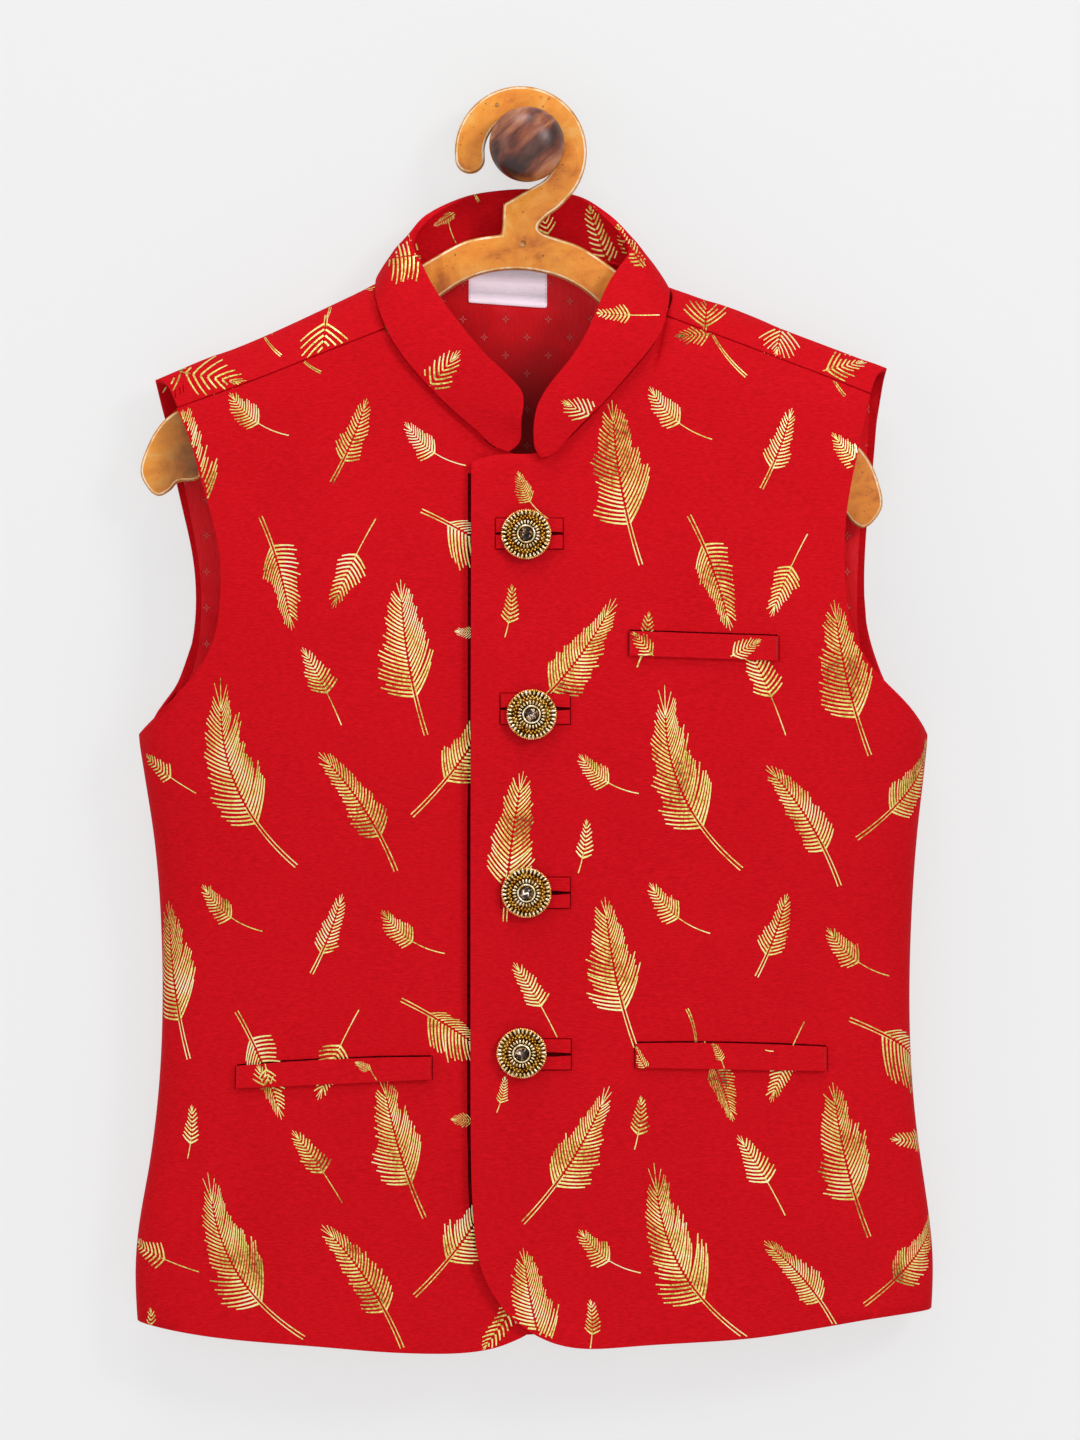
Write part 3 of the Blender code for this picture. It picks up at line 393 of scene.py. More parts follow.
@finishOf("amberPly", {"Specular IOR Level": 0.45, "Coat Weight": 0.12, "Coat Roughness": 0.3})
def board(place):
    grain = noiseOf(stretched(place, (34, 34, 240), (0, 0.18, 0)), 1, 4, 0.6, 0.5)
    mottle = noiseOf(place, 62, 4, 0.62, 0.6)
    wood = rampOf(sumOf((grain, 0.2), (mottle, 0.8)), (0.32, 190, 96, 22), (0.46, 234, 140, 40),
                  (0.56, 244, 156, 50), (0.7, 246, 182, 96))
    # painted shade: the end that comes out of the left armhole is darkened, unevenly, where the jacket shades it
    paintedArmholeShade = rangeOf(axesOf(place)["X"], -164 * mm, -138 * mm)
    paintedArmholeShade = timesOf(paintedArmholeShade, mathOf("LESS_THAN", paintedArmholeShade, 1))
    paintedShadeMottled = timesOf(paintedArmholeShade, sumOf((noiseOf(place, 150, 3, 0.6), 1.2), 0.2))
    wood = mixOf(paintedShadeMottled, wood, rgb(104, 58, 24))
    spotted = rampOf(noiseOf(place, 620, 2, 0.6), (0.26, 1), (0.31, 0))
    return {"Base Color": mixOf(spotted, wood, rgb(120, 62, 24)),
            "Normal": bumpOf(sumOf((grain, 0.5), (mottle, 0.5)), 0.5, 0.4),
            "Roughness": rampOf(mottle, (0.3, 0.6), (0.7, 0.42))}


@finishOf("wornPlyEdge", {"Roughness": 0.6, "Specular IOR Level": 0.35})
def boardEdge(place):
    # rubbed corners and sawn layers
    tone = sumOf((bandsOf(place, 1.9 * mm, "Y"), 0.35), (noiseOf(place, 150, 3, 0.65), 0.65))
    return {"Base Color": rampOf(tone, (0.3, 176, 108, 46), (0.48, 224, 150, 66), (0.58, 242, 190, 122),
                                 (0.68, 255, 234, 204)),
            "Normal": bumpOf(tone, 0.3, 0.5)}


@finishOf("darkWalnut", {"Roughness": 0.42, "Specular IOR Level": 0.5, "Coat Weight": 0.4, "Coat Roughness": 0.34})
def walnut(place):
    lean = (0, 0.75, 0)
    streaks = noiseOf(stretched(place, (26, 50, 120), lean), 1, 3, 0.55, 0.4)
    pores = noiseOf(stretched(place, (200, 420, 2400), lean), 1, 2, 0.5)
    wood = rampOf(streaks, (0.36, 42, 17, 11), (0.47, 96, 43, 26), (0.55, 142, 72, 43), (0.66, 192, 126, 86))
    dark = rampOf(pores, (0.3, 0.7), (0.42, 0))
    return {"Base Color": mixOf(dark, wood, rgb(30, 14, 8)), "Normal": bumpOf(pores, 0.15, 0.4)}


def sewingThread(name, colour, shade):
    @finishOf(name, {"Roughness": 0.55, "Sheen Weight": 0.3})
    def finish(place):
        twist = bandsOf(stretched(place, (1, 1, 1), (0, 0.7, 0)), 0.35 * mm, "X")
        return {"Base Color": mixOf(twist, rgb(*shade), rgb(*colour)), "Normal": bumpOf(twist, 0.08, 0.6)}
    return finish


redThread = sewingThread("redThread", (150, 8, 18), (84, 2, 8))
paleThread = sewingThread("paleThread", (236, 226, 240), (180, 166, 190))


@finishOf("shadedCloth", {"Roughness": 1, "Specular IOR Level": 0})
def shadedCloth(place):
    # painted shade: dark cloth laid where an opening, an overlapping edge and the collar's edges throw shade; the same
    # cloth draws the dark seams
    return {"Base Color": rampOf(noiseOf(place, 700, 2, 0.6), (0.35, 34, 1, 4), (0.6, 92, 5, 11))}


print("finishes made")


# cloth panels: each keeps its solid's form, and the soft pulls listed below are laid into it

frontPulls = (  # x, z, turn, along, across, rise
    (112, -112, -70, 26, 11, -1.5), (126, -150, -82, 30, 7, 0.9), (-112, -118, -108, 26, 11, -1.3),
    (-124, -160, -96, 30, 7, 0.8), (70, -150, -76, 48, 9, 0.55), (-66, -150, -104, 50, 9, 0.5),
    (22, -176, -18, 18, 5, 0.35), (28, -250, -14, 20, 5, 0.4), (27, -322, 12, 20, 5, 0.35), (26, -392, -10, 18, 5, 0.4),
    (-12, -200, 84, 26, 5, -0.45), (-10, -276, 93, 26, 5, -0.5), (-12, -346, 88, 26, 5, -0.45),
    (-40, -214, 80, 50, 8, 0.5), (-62, -300, 84, 60, 9, -0.6), (-96, -262, 98, 52, 9, 0.6),
    (-120, -226, 62, 30, 8, -0.7), (-104, -440, 96, 48, 8, 0.9), (-40, -446, 88, 50, 9, 0.7),
    (-134, -470, 100, 30, 6, -0.8), (-76, -478, 92, 26, 6, -0.7), (48, -300, 94, 56, 9, 0.5),
    (84, -286, 88, 52, 9, -0.5), (116, -236, 118, 32, 8, -0.8), (138, -330, 84, 46, 8, 0.7),
    (36, -452, 92, 44, 8, 0.8), (76, -450, 86, 46, 8, -0.8), (116, -446, 80, 46, 8, 0.9), (146, -470, 78, 30, 6, -0.7),
    (74, -222, 2, 34, 5, 0.35), (-82, -402, 4, 40, 5, 0.35), (86, -396, -3, 40, 5, 0.35),
)
backPulls = (
    (-96, -150, -60, 34, 12, 0.7), (98, -148, 60, 34, 12, 0.7), (-60, -190, -76, 60, 11, -0.7),
    (56, -200, 78, 60, 11, -0.8), (0, -150, 90, 60, 12, 0.5), (-24, -300, 86, 80, 12, 0.7),
    (30, -310, 94, 80, 12, -0.6), (-84, -320, 94, 70, 11, 0.8), (92, -330, 86, 70, 11, 0.7),
    (-120, -430, 98, 50, 9, -0.9), (-62, -440, 90, 56, 10, -0.8), (0, -450, 90, 50, 10, 0.9),
    (64, -440, 88, 50, 10, -0.8), (124, -430, 80, 50, 9, 0.9), (-130, -260, 60, 28, 9, -0.7),
    (134, -262, 120, 28, 9, -0.7),
)
handle = {"rise": 0.12, "wide": (17, 57), "high": (23, 31), "sway": 1.3}  # the cloth's faint unevenness


def swell(x, z, middleX, middleZ, across, along):
    # 1 in the middle, dying away across and along
    return np.exp(-((x - middleX) / across) ** 2 - ((z - middleZ) / along) ** 2)


def pullsAt(table, x, z):
    sway = handle["sway"] * np.sin(z / handle["high"][1])
    total = (handle["rise"] * np.sin(x / handle["wide"][0] + sway)
             * np.sin(z / handle["high"][0] + x / handle["wide"][1]))
    for startX, startZ, turn, along, across, rise in table:
        way = math.radians(turn)
        run = (x - startX) * math.cos(way) + (z - startZ) * math.sin(way)
        side = (z - startZ) * math.cos(way) - (x - startX) * math.sin(way)
        total = total + rise * swell(run, side, 0, 0, along, across)
    return total


def eased(value, start, length):
    # 0 up to the start, then rising to 1 over the length; a minus sign turns it round
    return np.clip((value - start) / length, 0, 1)


# the upper front's edge stands a little off the lower one
overlap = {"edge": -23.6, "lift": 1.5, "wide": 9, "under": (-120, -25)}
collarEnds = (  # x, z, wide, and the move: the collar's two front ends fill out towards each other
    (-3.6, -107, 13, 4.4, 0, 0), (-13, -127, 6, -2.2, 0, -0.4), (-5, -123.5, 7, 2.8, 2.6, -0.6),
    (4.4, -112, 16, -3, 0, -0.4), (7, -127, 6, -1.2, -0.4, -1.2), (12, -131, 6, 0.8, -0.4, -1.6))
# behind the neck the collar comes down onto the panel it's sewn to
collarSeam = {"lower": 0.9, "below": (-40, -5), "depth": (-26, 5)}
# the armholes' edges, drawn in a little below the hanger's ends: x, z, across, along, move
armholePulls = {"backPanel": (-146, -172, 12, 44, 3.2), "backLining": (-146, -172, 12, 44, 3.2),
                "rightFrontPanel": (-131, -172, 9, 40, 1.2)}
# the back panel's side edges come forward to the fronts they're sewn to
sideSeam = {"reach": 0.45, "hem": 0.5, "beyond": 120, "below": -230, "hemAt": (-425, -20),
            "depth": (-10, -3)}
backSlack = {"below": (-115, -40), "least": -1.6, "most": 0.9}
# where the fronts are lined with their own cloth, and how far a face has to look inwards to be lining
facings = {"rightFrontPanel": (-38, 40), "leftFrontPanel": (-40, 22)}
inward = 0.25

cuts = {  # node, levels, wide, long, area, held, what it rests on, what's laid on it
    "rightFrontPanel": ("right_front", 2, 0.186, 0.44, 0.0687, "hung", ["hanger"],
                        ["rightFrontPrint", "rightFrontSeams"]),
    "leftFrontPanel": ("left_front", 2, 0.206, 0.445, 0.0752, "hung", ["hanger", "rightFrontPanel"],
                       ["leftFrontPrint", "leftFrontSeams"]),
    "backPanel": ("back", 2, 0.346, 0.475, 0.1443, "hung", ["hanger"], ["backPrint", "shoulderPrint", "backSeams"]),
    "backLining": ("back_lining", 1, 0.326, 0.45, 0.1234, "hung", ["backPanel"], []),
    "bandCollar": ("collar", 2, 0.335, 0.034, 0.0085, "folded", ["backPanel"], ["collarPrint", "collarBackPrint"]),
    "breastWelt": ("breast_welt", 2, 0.063, 0.0118, 0.00074, "folded", ["leftFrontPanel"], ["breastWeltPrint"]),
    "lowerWeltLeft": ("lower_welt_left", 2, 0.082, 0.0118, 0.00096, "folded", ["rightFrontPanel"],
                      ["lowerWeltLeftPrint"]),
    "lowerWeltRight": ("lower_welt_right", 2, 0.081, 0.0122, 0.00098, "folded", ["leftFrontPanel"],
                       ["lowerWeltRightPrint"]),
}
clothShape = {"sharp": 38, "crease": 0.75, "shade": 50}


def liftFront(x, y, z):
    return 0, -pullsAt(frontPulls, x, z), 0


def liftOverlap(x, y, z):
    near = np.exp(-((x - overlap["edge"]) / overlap["wide"]) ** 2)
    return 0, -overlap["lift"] * near * eased(z, *overlap["under"]), 0


def lowerCollar(x, y, z):
    return 0, 0, -collarSeam["lower"] * eased(z, *collarSeam["below"]) * eased(y, *collarSeam["depth"])


def slackenBack(x, y, z):
    rise = pullsAt(backPulls, x, z) * eased(z, *backSlack["below"])
    return 0, np.clip(rise, backSlack["least"], backSlack["most"]), 0


def bringSidesForward(x, y, z):
    beside = (np.abs(x) > sideSeam["beyond"]) & (z < sideSeam["below"])
    reach = sideSeam["reach"] + sideSeam["hem"] * eased(z, *sideSeam["hemAt"])
    return 0, -reach * beside * eased(y, *sideSeam["depth"]), 0


panels = {}
for name, (node, levels, *_) in cuts.items():
    panels[name] = softened(node, name, satinLining if name == "backLining" else redCloth, clothShape["sharp"],
                            clothShape["crease"], levels)
for name in ("rightFrontPanel", "leftFrontPanel", "breastWelt", "lowerWeltLeft", "lowerWeltRight"):
    movePoints(panels[name], liftFront)
movePoints(panels["leftFrontPanel"], liftOverlap)
for startX, startZ, wide, *move in collarEnds:
    movePoints(panels["bandCollar"], lambda x, y, z: np.outer(move, swell(x, z, startX, startZ, wide, wide)))
movePoints(panels["bandCollar"], lowerCollar)
for name in ("backPanel", "backLining"):
    movePoints(panels[name], slackenBack)
for name, (*place, move) in armholePulls.items():
    movePoints(panels[name], lambda x, y, z: (move * swell(x, z, *place), 0, 0))
movePoints(panels["backPanel"], bringSidesForward)
for name, (low, high) in facings.items():
    mesh = panels[name].data
    mesh.materials.append(satinLining)
    for face in mesh.polygons:
        if face.normal.y > inward and not low * mm < face.center.x < high * mm:
            face.material_index = 1
for name, (node, *_) in cuts.items():
    finishPiece(panels[name], (node,), "lining" if name == "backLining" else "brocade", angle=clothShape["shade"])
print("panels, collar and welts made")


# bound buttonholes: two turned lips each, moved apart at the slit between them; the slit's painted shade is laid with
# the seams below

holes = {
    "rows": (  # buttonX, buttonZ, left, right, slit
        (-0.3, -163.8, -12.9, 14.9, -163.4), (2, -238.8, -10.9, 17.9, -236.4),
        (-0.2, -313, -10.6, 17.9, -313.1), (-2.2, -380, -10.8, 18.3, -380.6)),
    "flat": (0.03, 0.0105), "area": 0.00021, "crease": 0.5, "parting": 0.3, "open": 0.5, "taper": 6, "reach": 2,
}


def openAt(x, left, right):
    # a slit is wide open behind its button and closes towards both ends
    return eased(np.minimum(right - x, x - left), 0, holes["taper"])


def liftAt(x, z):
    # how far the cloth at one place is lifted to the front: a small stiff piece on it moves as a whole
    return pullsAt(frontPulls, np.array([x]), np.array([z]))[0]


def lipParting(buttonX, buttonZ, left, right, slit):
    # a lip rises with the cloth under its button and moves off the slit
    def part(x, y, z):
        off = z - slit
        apart = holes["parting"] + holes["open"] * openAt(x, left, right)
        near = eased(-np.abs(off), -holes["reach"], holes["reach"])
        return 0, -liftAt(buttonX, buttonZ), np.sign(off) * apart * near
    return part


for number, hole in enumerate(holes["rows"], 1):
    for side in ("upper", "lower"):
        node = f"buttonhole_{side}_{number}"
        lip = softened(node, f"buttonhole{side.title()}{number}", redCloth, clothShape["sharp"], holes["crease"], 2)
        movePoints(lip, lipParting(*hole))
        finishPiece(lip, (node,), "brocade", angle=clothShape["shade"])
print("buttonholes made")


# foil print: feathers drawn as strips of foil, laid on the cloth and cut off at its edges
# bend: how far the spine bows to the left of the way from foot to tip, as a share of the feather
# vane, crown: where along the spine the barbs begin and end; barb lengths are shares of the feather
# fade, fold: how much shorter and closer to the spine the barbs get towards the crown

featherParts = ("bend", "vane", "crown", "leftLong", "leftTurn", "leftBarbs", "rightLong", "rightTurn", "rightBarbs",
                "fade", "fold", "cover", "quills")
feathers = {
    "long": (0.13, 0.27, 0.88, 0.17, 58, 28, 0.255, 44, 27, 0.52, 0.55, 0.66, 2),
    "broad": (0.035, 0.25, 0.9, 0.225, 68, 25, 0.31, 35, 20, 0.6, 0.45, 0.64, 2),
    "slant": (-0.05, 0.3, 0.9, 0.19, 48, 23, 0.2, 56, 23, 0.62, 0.48, 0.66, 2),
    "tall": (0.02, 0.22, 0.9, 0.22, 48, 21, 0.22, 46, 21, 0.5, 0.4, 0.64, 2),
    "drop": (0.03, 0.25, 0.9, 0.18, 32, 18, 0.34, 55, 19, 0.6, 0.4, 0.58, 2),
    "middle": (-0.03, 0.26, 0.9, 0.19, 54, 14, 0.19, 56, 14, 0.5, 0.4, 0.54, 2),
    "hang": (0.035, 0.26, 0.9, 0.2, 70, 18, 0.245, 38, 18, 0.55, 0.48, 0.6, 2),
    "dense": (-0.05, 0.27, 0.91, 0.145, 66, 22, 0.175, 48, 22, 0.42, 0.48, 0.64, 2),
    "curl": (0.11, 0.43, 0.9, 0.21, 62, 11, 0.22, 56, 11, 0.48, 0.4, 0.6, 1),
    "small": (-0.02, 0.4, 0.9, 0.19, 56, 11, 0.19, 62, 11, 0.48, 0.4, 0.6, 1),
    "seed": (0.02, 0.43, 0.9, 0.165, 60, 8, 0.175, 56, 8, 0.46, 0.4, 0.56, 1),
    "tiny": (-0.04, 0.26, 0.9, 0.21, 54, 8, 0.21, 58, 8, 0.48, 0.4, 0.56, 1),
    "plume": (0, 0.04, 0.82, 0.42, 52, 7, 0.42, 46, 7, 0.3, 0.7, 0.56, 1),
    "fan": (0, 0.1, 0.72, 0.64, 54, 6, 0.64, 48, 6, 0.2, 0.6, 0.54, 2),
    "tuft": (0, 0.12, 0.8, 0.5, 50, 4, 0.46, 46, 4, 0.35, 0.5, 0.5, 1),
    "comb": (0, 0, 1, 0.9, 82, 8, 0.62, 84, 8, 0.1, 0.1, 0.48, 2),
    "vane": (0.03, 0.02, 0.93, 0.2, 58, 11, 0.22, 50, 11, 0.34, 0.45, 0.56, 2),
    "lines": (0.05, 1, 1, 0, 0, 0, 0, 0, 0, 0, 0, 0, 2),
    "line": (0.05, 1, 1, 0, 0, 0, 0, 0, 0, 0, 0, 0, 1),
}
foilPrint = {"lift": 0.14, "quillHalf": 0.22, "quillTaper": 0.3, "quillSteps": 14, "quillEnd": 0.16, "thin": 0.13,
             "thick": 0.42, "gap": 0.55, "gapSize": 55, "gapTaper": 0.8, "gapLeast": 0.25, "stepLong": 3,
             "curve": 18, "sample": 0.02, "first": 0.8, "growth": 3, "folding": 1.5, "behind": (0.62, 0.62),
             "point": 0.78, "beside": 0.1, "narrow": 0.45, "clump": (0.88, 1.1), "clumpBarbs": (3, 6),
             "clumpLean": 3, "uneven": (0.85, 1.1), "tips": ((0, 1.3), (-15, 1.05), (14, 1.12)),
             "tipHalves": (0.2, 0.16, 0.1)}

charted = {  # kind, unless it's the last row's, then the x and z of the tip and of the foot, in tenths of a millimetre
    "rightFrontPanel": """
    curl -1239 -1046 -995 -1222, -504 -1172 -256 -1348, seed -1592 -2558 -1382 -2717, curl -1352 -3104 -1105 -3293,
    -601 -3209 -344 -3385, seed -1634 -4595 -1373 -4721, middle -672 -1079 -815 -1420, -773 -3146 -899 -3469,
    broad -1441 -1088 -1336 -1730, hang -983 -2024 -1113 -1562, -1029 -4066 -1214 -3629,
    small -806 -1936 -630 -1571, -869 -3986 -701 -3620, drop -29 -1781 -441 -1537, -113 -3847 -525 -3578,
    broad -525 -1844 -420 -2474, -1499 -3188 -1415 -3830, -596 -3923 -428 -4490, small -932 -2117 -773 -2432,
    -974 -4133 -773 -4427, long -1273 -2255 -962 -3020, -1327 -4322 -932 -4994, dense -857 -2558 -546 -3041,
    -848 -4532 -521 -5036, slant -101 -2276 -479 -2810, -92 -4284 -470 -4817, plume -298 -2041 -214 -2050,
    tiny -1403 -4028 -1420 -4246, plume -315 -4078 -223 -4087, tiny -1579 -4880 -1596 -5099,
    vane -181 -5040 -29 -4805, tall -1844 -2621 -1919 -3230, lines -941 -903 -861 -958""",
    "leftFrontPanel": """
    curl -34 -1378 88 -1571, tiny -63 -1852 -92 -2066, 508 -1966 458 -2192, 248 -2831 214 -3049,
    -92 -3902 -126 -4049, 475 -3986 449 -4204, 265 -4838 265 -5036, seed 1529 -4166 1777 -4179,
    slant 361 -1919 -46 -2428, 1693 -2474 1378 -2906, 336 -3956 -17 -4511, 1693 -4469 1411 -4859,
    curl 517 -1025 773 -1239, 1281 -1214 1533 -1394, 223 -2558 466 -2717, 517 -3095 764 -3301,
    1260 -3284 1516 -3482, 223 -4544 475 -4721, middle 1105 -1117 979 -1445, 1084 -3146 958 -3482,
    broad 357 -1096 475 -1764, 1285 -1928 1432 -2558, 328 -3167 454 -3776, 1281 -3944 1432 -4574,
    hang 844 -2024 676 -1558, 857 -4078 735 -3755, lines 706 -3755 668 -3616, small 1021 -1970 1172 -1634,
    1021 -3998 1159 -3671, 916 -2096 1079 -2474, -50 -3431 126 -3734, 886 -4154 1079 -4481,
    long 580 -2285 895 -3032, 538 -4280 916 -4994, dense 1008 -2612 1306 -3104, 1000 -4595 1294 -4952,
    tall -17 -2642 -92 -3251, broad -13 -4633 122 -5204, drop 1785 -3948 1348 -3662, lines 769 -785 916 -974,
    plume 626 -806 773 -794, 1424 -903 1239 -949, lines 1268 -949 1331 -1054, line 483 -2142 462 -2188""",
    "shoulders": """
    plume -1180 -1004 -1457 -949, -1625 -1000 -1432 -932, lines -1105 -798 -1029 -886, line -1151 -790 -1067 -790,
    fan -861 -958 -840 -714, lines -840 -731 -823 -655, plume -643 -815 -449 -857, -693 -554 -626 -605,
    fan 760 -613 743 -790, 1037 -903 1075 -739, plume 1424 -903 1239 -949""",
    "bandCollar": """
    comb -584 -479 -449 -462, plume -286 -878 -428 -1042, vane -391 -328 -307 -277, line -332 -302 -298 -403,
    lines -223 -189 -202 -227, tuft 67 -260 92 -386, vane 265 -248 357 -512, 382 -328 491 -512,
    seed 281 -710 554 -718, plume 151 -1084 307 -1163, fan 349 -1088 290 -1151""",
    "breastWelt": """
    plume 437 -2037 529 -2146, 970 -2079 848 -2146""",
    "lowerWeltLeft": """
    tuft -1121 -3856 -1079 -3982, -1075 -3965 -1092 -3847, plume -714 -3839 -655 -3872,
    line -659 -3847 -626 -3914""",
    "lowerWeltRight": """
    vane 449 -3772 508 -3881, tiny 773 -3755 823 -3864, line 995 -3788 1029 -3793""",
}


def rowsOf(name):
    rows, kind = [], []
    for row in charted[name].split(","):
        *named, tipX, tipZ, footX, footZ = row.split()
        kind = named or kind
        rows.append((kind[0], *(int(number) / 10 for number in (tipX, tipZ, footX, footZ))))
    return rows


def squareTo(way):
    return np.array((-way[1], way[0]))


def turnedFrom(axis, side, degrees):
    way = math.radians(degrees)
    return axis * math.cos(way) + side * math.sin(way)


def featherStrips(kind, tipX, tipZ, footX, footZ, fewer=1, thick=foilPrint["thick"]):
    # strips of one feather, each a list of (point, half width) in millimetres on the flat cloth
    shape, p = dict(zip(featherParts, feathers[kind])), foilPrint
    foot = np.array((footX, footZ))
    run = np.array((tipX, tipZ)) - foot
    size = float(np.hypot(*run))
    axis = run / size
    vaneLong = shape["crown"] - shape["vane"]
    gap = p["gap"] * min(1, size / p["gapSize"]) ** 0.5 if shape["quills"] == 2 else 0

    def spine(share):
        return foot + axis * size * share + squareTo(axis) * size * shape["bend"] * 4 * share * (1 - share)

    def heading(share):
        step = spine(min(share + p["sample"], 1)) - spine(max(share - p["sample"], 0))
        return step / np.hypot(*step)

    def quillAt(share, side, off):
        away = side * (gap * max(p["gapLeast"], 1 - p["gapTaper"] * share) + off)
        return spine(share) + squareTo(heading(share)) * away

    strips = []
    bare = min(1, shape["vane"] + p["quillEnd"] * vaneLong)
    for side in ((1, -1) if shape["quills"] == 2 else (0,)):
        shares = [step / p["quillSteps"] for step in range(p["quillSteps"] + 1)]
        strips.append([(quillAt(bare * share, side, p["quillHalf"]),
                        p["quillHalf"] * (1 - p["quillTaper"] * share)) for share in shares])
    for side, name in ((1, "left"), (-1, "right")):
        clump, clumpLeft, lean = 1, 0, 0
        count = round(shape[name + "Barbs"] * fewer)
        for number in range(count):
            if clumpLeft == 0:
                clump, clumpLeft = draws.uniform(*p["clump"]), draws.randint(*p["clumpBarbs"])
                lean = draws.uniform(-p["clumpLean"], p["clumpLean"])
            clumpLeft -= 1
            along = (number + 0.5) / count
            share = shape["vane"] + vaneLong * along
            reach = size * shape[name + "Long"] * clump * draws.uniform(*p["uneven"])
            reach *= (1 - shape["fade"] * along) * min(1, p["first"] + p["growth"] * along)
            angle = shape[name + "Turn"] * (1 - shape["fold"] * along ** p["folding"]) + lean
            reach = min(reach, size * (1 - share) * p["point"] / math.cos(math.radians(angle)))
            ahead = heading(share)
            place = quillAt(share, side, p["beside"])
            spread = size * vaneLong / count * math.sin(math.radians(angle))
            half = min(max(shape["cover"] * spread / 2, p["thin"]), thick)
            steps = max(2, round(reach / p["stepLong"]))
            strip = [(place, half)]
            for step in range(steps):
                turn = angle + p["curve"] * (0.5 - (step + 0.5) / steps)
                place = place + turnedFrom(ahead, squareTo(ahead) * side, turn) * reach / steps
                strip.append((place, half * (1 - p["narrow"] * (step + 1) / steps)))
            strips.append(strip)
    if shape["leftBarbs"]:
        crown, ahead = spine(shape["crown"]), heading(shape["crown"])
        for lean, reach in p["tips"]:
            end = crown + turnedFrom(ahead, squareTo(ahead), lean) * size * reach * (1 - shape["crown"])
            strips.append(list(zip((crown, (crown + end) / 2, end), p["tipHalves"])))
    return strips


casting = {"front": -0.15, "back": 0.05, "steep": 0.22, "steepRolled": 0.08, "longest": 7, "least": 1e-6}


def castOn(panel, behind=False):
    # a ray along Y at an x and z in millimetres, and where and how it meets the panel
    mesh = panel.data
    mesh.calc_loop_triangles()
    tree = BVHTree.FromPolygons([v.co for v in mesh.vertices], [t.vertices for t in mesh.loop_triangles])
    start, way = casting["back" if behind else "front"], Vector((0, -1 if behind else 1, 0))
    return lambda x, z: tree.ray_cast(Vector((x * mm, start, z * mm)), way)[:2]


rolling = {"low": -515, "gap": 8, "rows": 52, "wide": 176, "step": 0.4, "far": 420, "middle": 80}


def rolledOut(panel, behind):
    # the cloth laid flat: the way along it from side to side, against x, in one row for each height
    cast = castOn(panel, behind)
    inner = np.arange(-rolling["wide"], rolling["wide"], rolling["step"])
    across = np.concatenate(((-rolling["far"],), inner, (rolling["far"],)))
    table = []
    for number in range(rolling["rows"]):
        hits = [cast(x, rolling["low"] + number * rolling["gap"])[0] for x in across]
        known = [(x, hit.y / mm) for x, hit in zip(across, hits) if hit is not None] or [(0, 0)]
        toneAndPaintedGlints = np.interp(across, *np.array(known).T)
        along = np.concatenate(((0,), np.cumsum(np.hypot(np.diff(across), np.diff(toneAndPaintedGlints)))))
        middle = 0 if behind else math.copysign(rolling["middle"], sum(x for x, _ in known))
        table.append(along - np.interp(middle, across, along) + middle)

    def turned(value, z, flat=False):
        # from x to the way along the cloth, or back from flat
        line = min(max((z - rolling["low"]) / rolling["gap"], 0), rolling["rows"] - 1.001)
        rows = table[int(line)], table[int(line) + 1]
        first, second = (np.interp(value, *((row, across) if flat else (across, row))) for row in rows)
        return first + (second - first) * (line - int(line))

    return turned


def dropStrips(panel, strips, lift, behind=False, turned=None):
    # each strip's points are dropped on the panel along Y; what misses the panel is cut away
    cast = castOn(panel, behind)
    steep = casting["steepRolled" if turned else "steep"]
    points, faces = [], []
    for strip in strips:
        landed = []
        for number, (place, half) in enumerate(strip):
            ahead = strip[min(number + 1, len(strip) - 1)][0] - strip[max(number - 1, 0)][0]
            across = squareTo(ahead / max(np.hypot(*ahead), casting["least"])) * half
            pair = []
            for x, z in (place + across, place - across):
                hit, normal = cast(turned(x, z, True) if turned else x, z)
                if hit is not None and abs(normal.y) >= steep:
                    pair.append(hit + normal * lift * mm)
            landed.append(pair)
        for first, second in zip(landed, landed[1:]):
            if len(first) == len(second) == 2 and (first[0] - second[0]).length <= casting["longest"] * mm:
                corner = len(points)
                points += [*first, second[1], second[0]]
                faces.append(tuple(range(corner, corner + 4)))
    return points, faces


def laidPiece(name, laid, finish, behind=False):
    piece = meshPiece(name, *laid)
    piece.data.materials.append(finish)
    for face in piece.data.polygons:
        if (face.normal.y > 0) != behind:
            face.flip()
    print(name, len(laid[1]), "strips")
    return piece


prints = []


def layPrint(name, panelName, rows, behind=False, rolled=False):
    # what is seen from farther off, behind, has fewer and broader barbs
    panel, coarse = panels[panelName], foilPrint["behind"] if behind else ()
    turned = rolledOut(panel, behind) if rolled else None
    strips = []
    for kind, tipX, tipZ, footX, footZ in rows:
        if turned:
            tipX, footX = turned(tipX, tipZ), turned(footX, footZ)
        strips += featherStrips(kind, tipX, tipZ, footX, footZ, *coarse)
    laid = dropStrips(panel, strips, foilPrint["lift"], behind, turned)
    prints.append(laidPiece(name, laid, foil, behind))


repeat = {"wide": 183.5, "high": 204, "x": (-10, 173.5), "z": (-317, -113)}


def repeated(columns, lines):
    # the cloth's repeat carried on to the back, seen from behind
    window = [row for row in rowsOf("leftFrontPanel")
              if repeat["x"][0] < row[1] < repeat["x"][1] and repeat["z"][0] < row[2] < repeat["z"][1]]
    return [(kind, column * repeat["wide"] - tipX, tipZ + line * repeat["high"],
             column * repeat["wide"] - footX, footZ + line * repeat["high"])
            for column in columns for line in lines for kind, tipX, tipZ, footX, footZ in window]


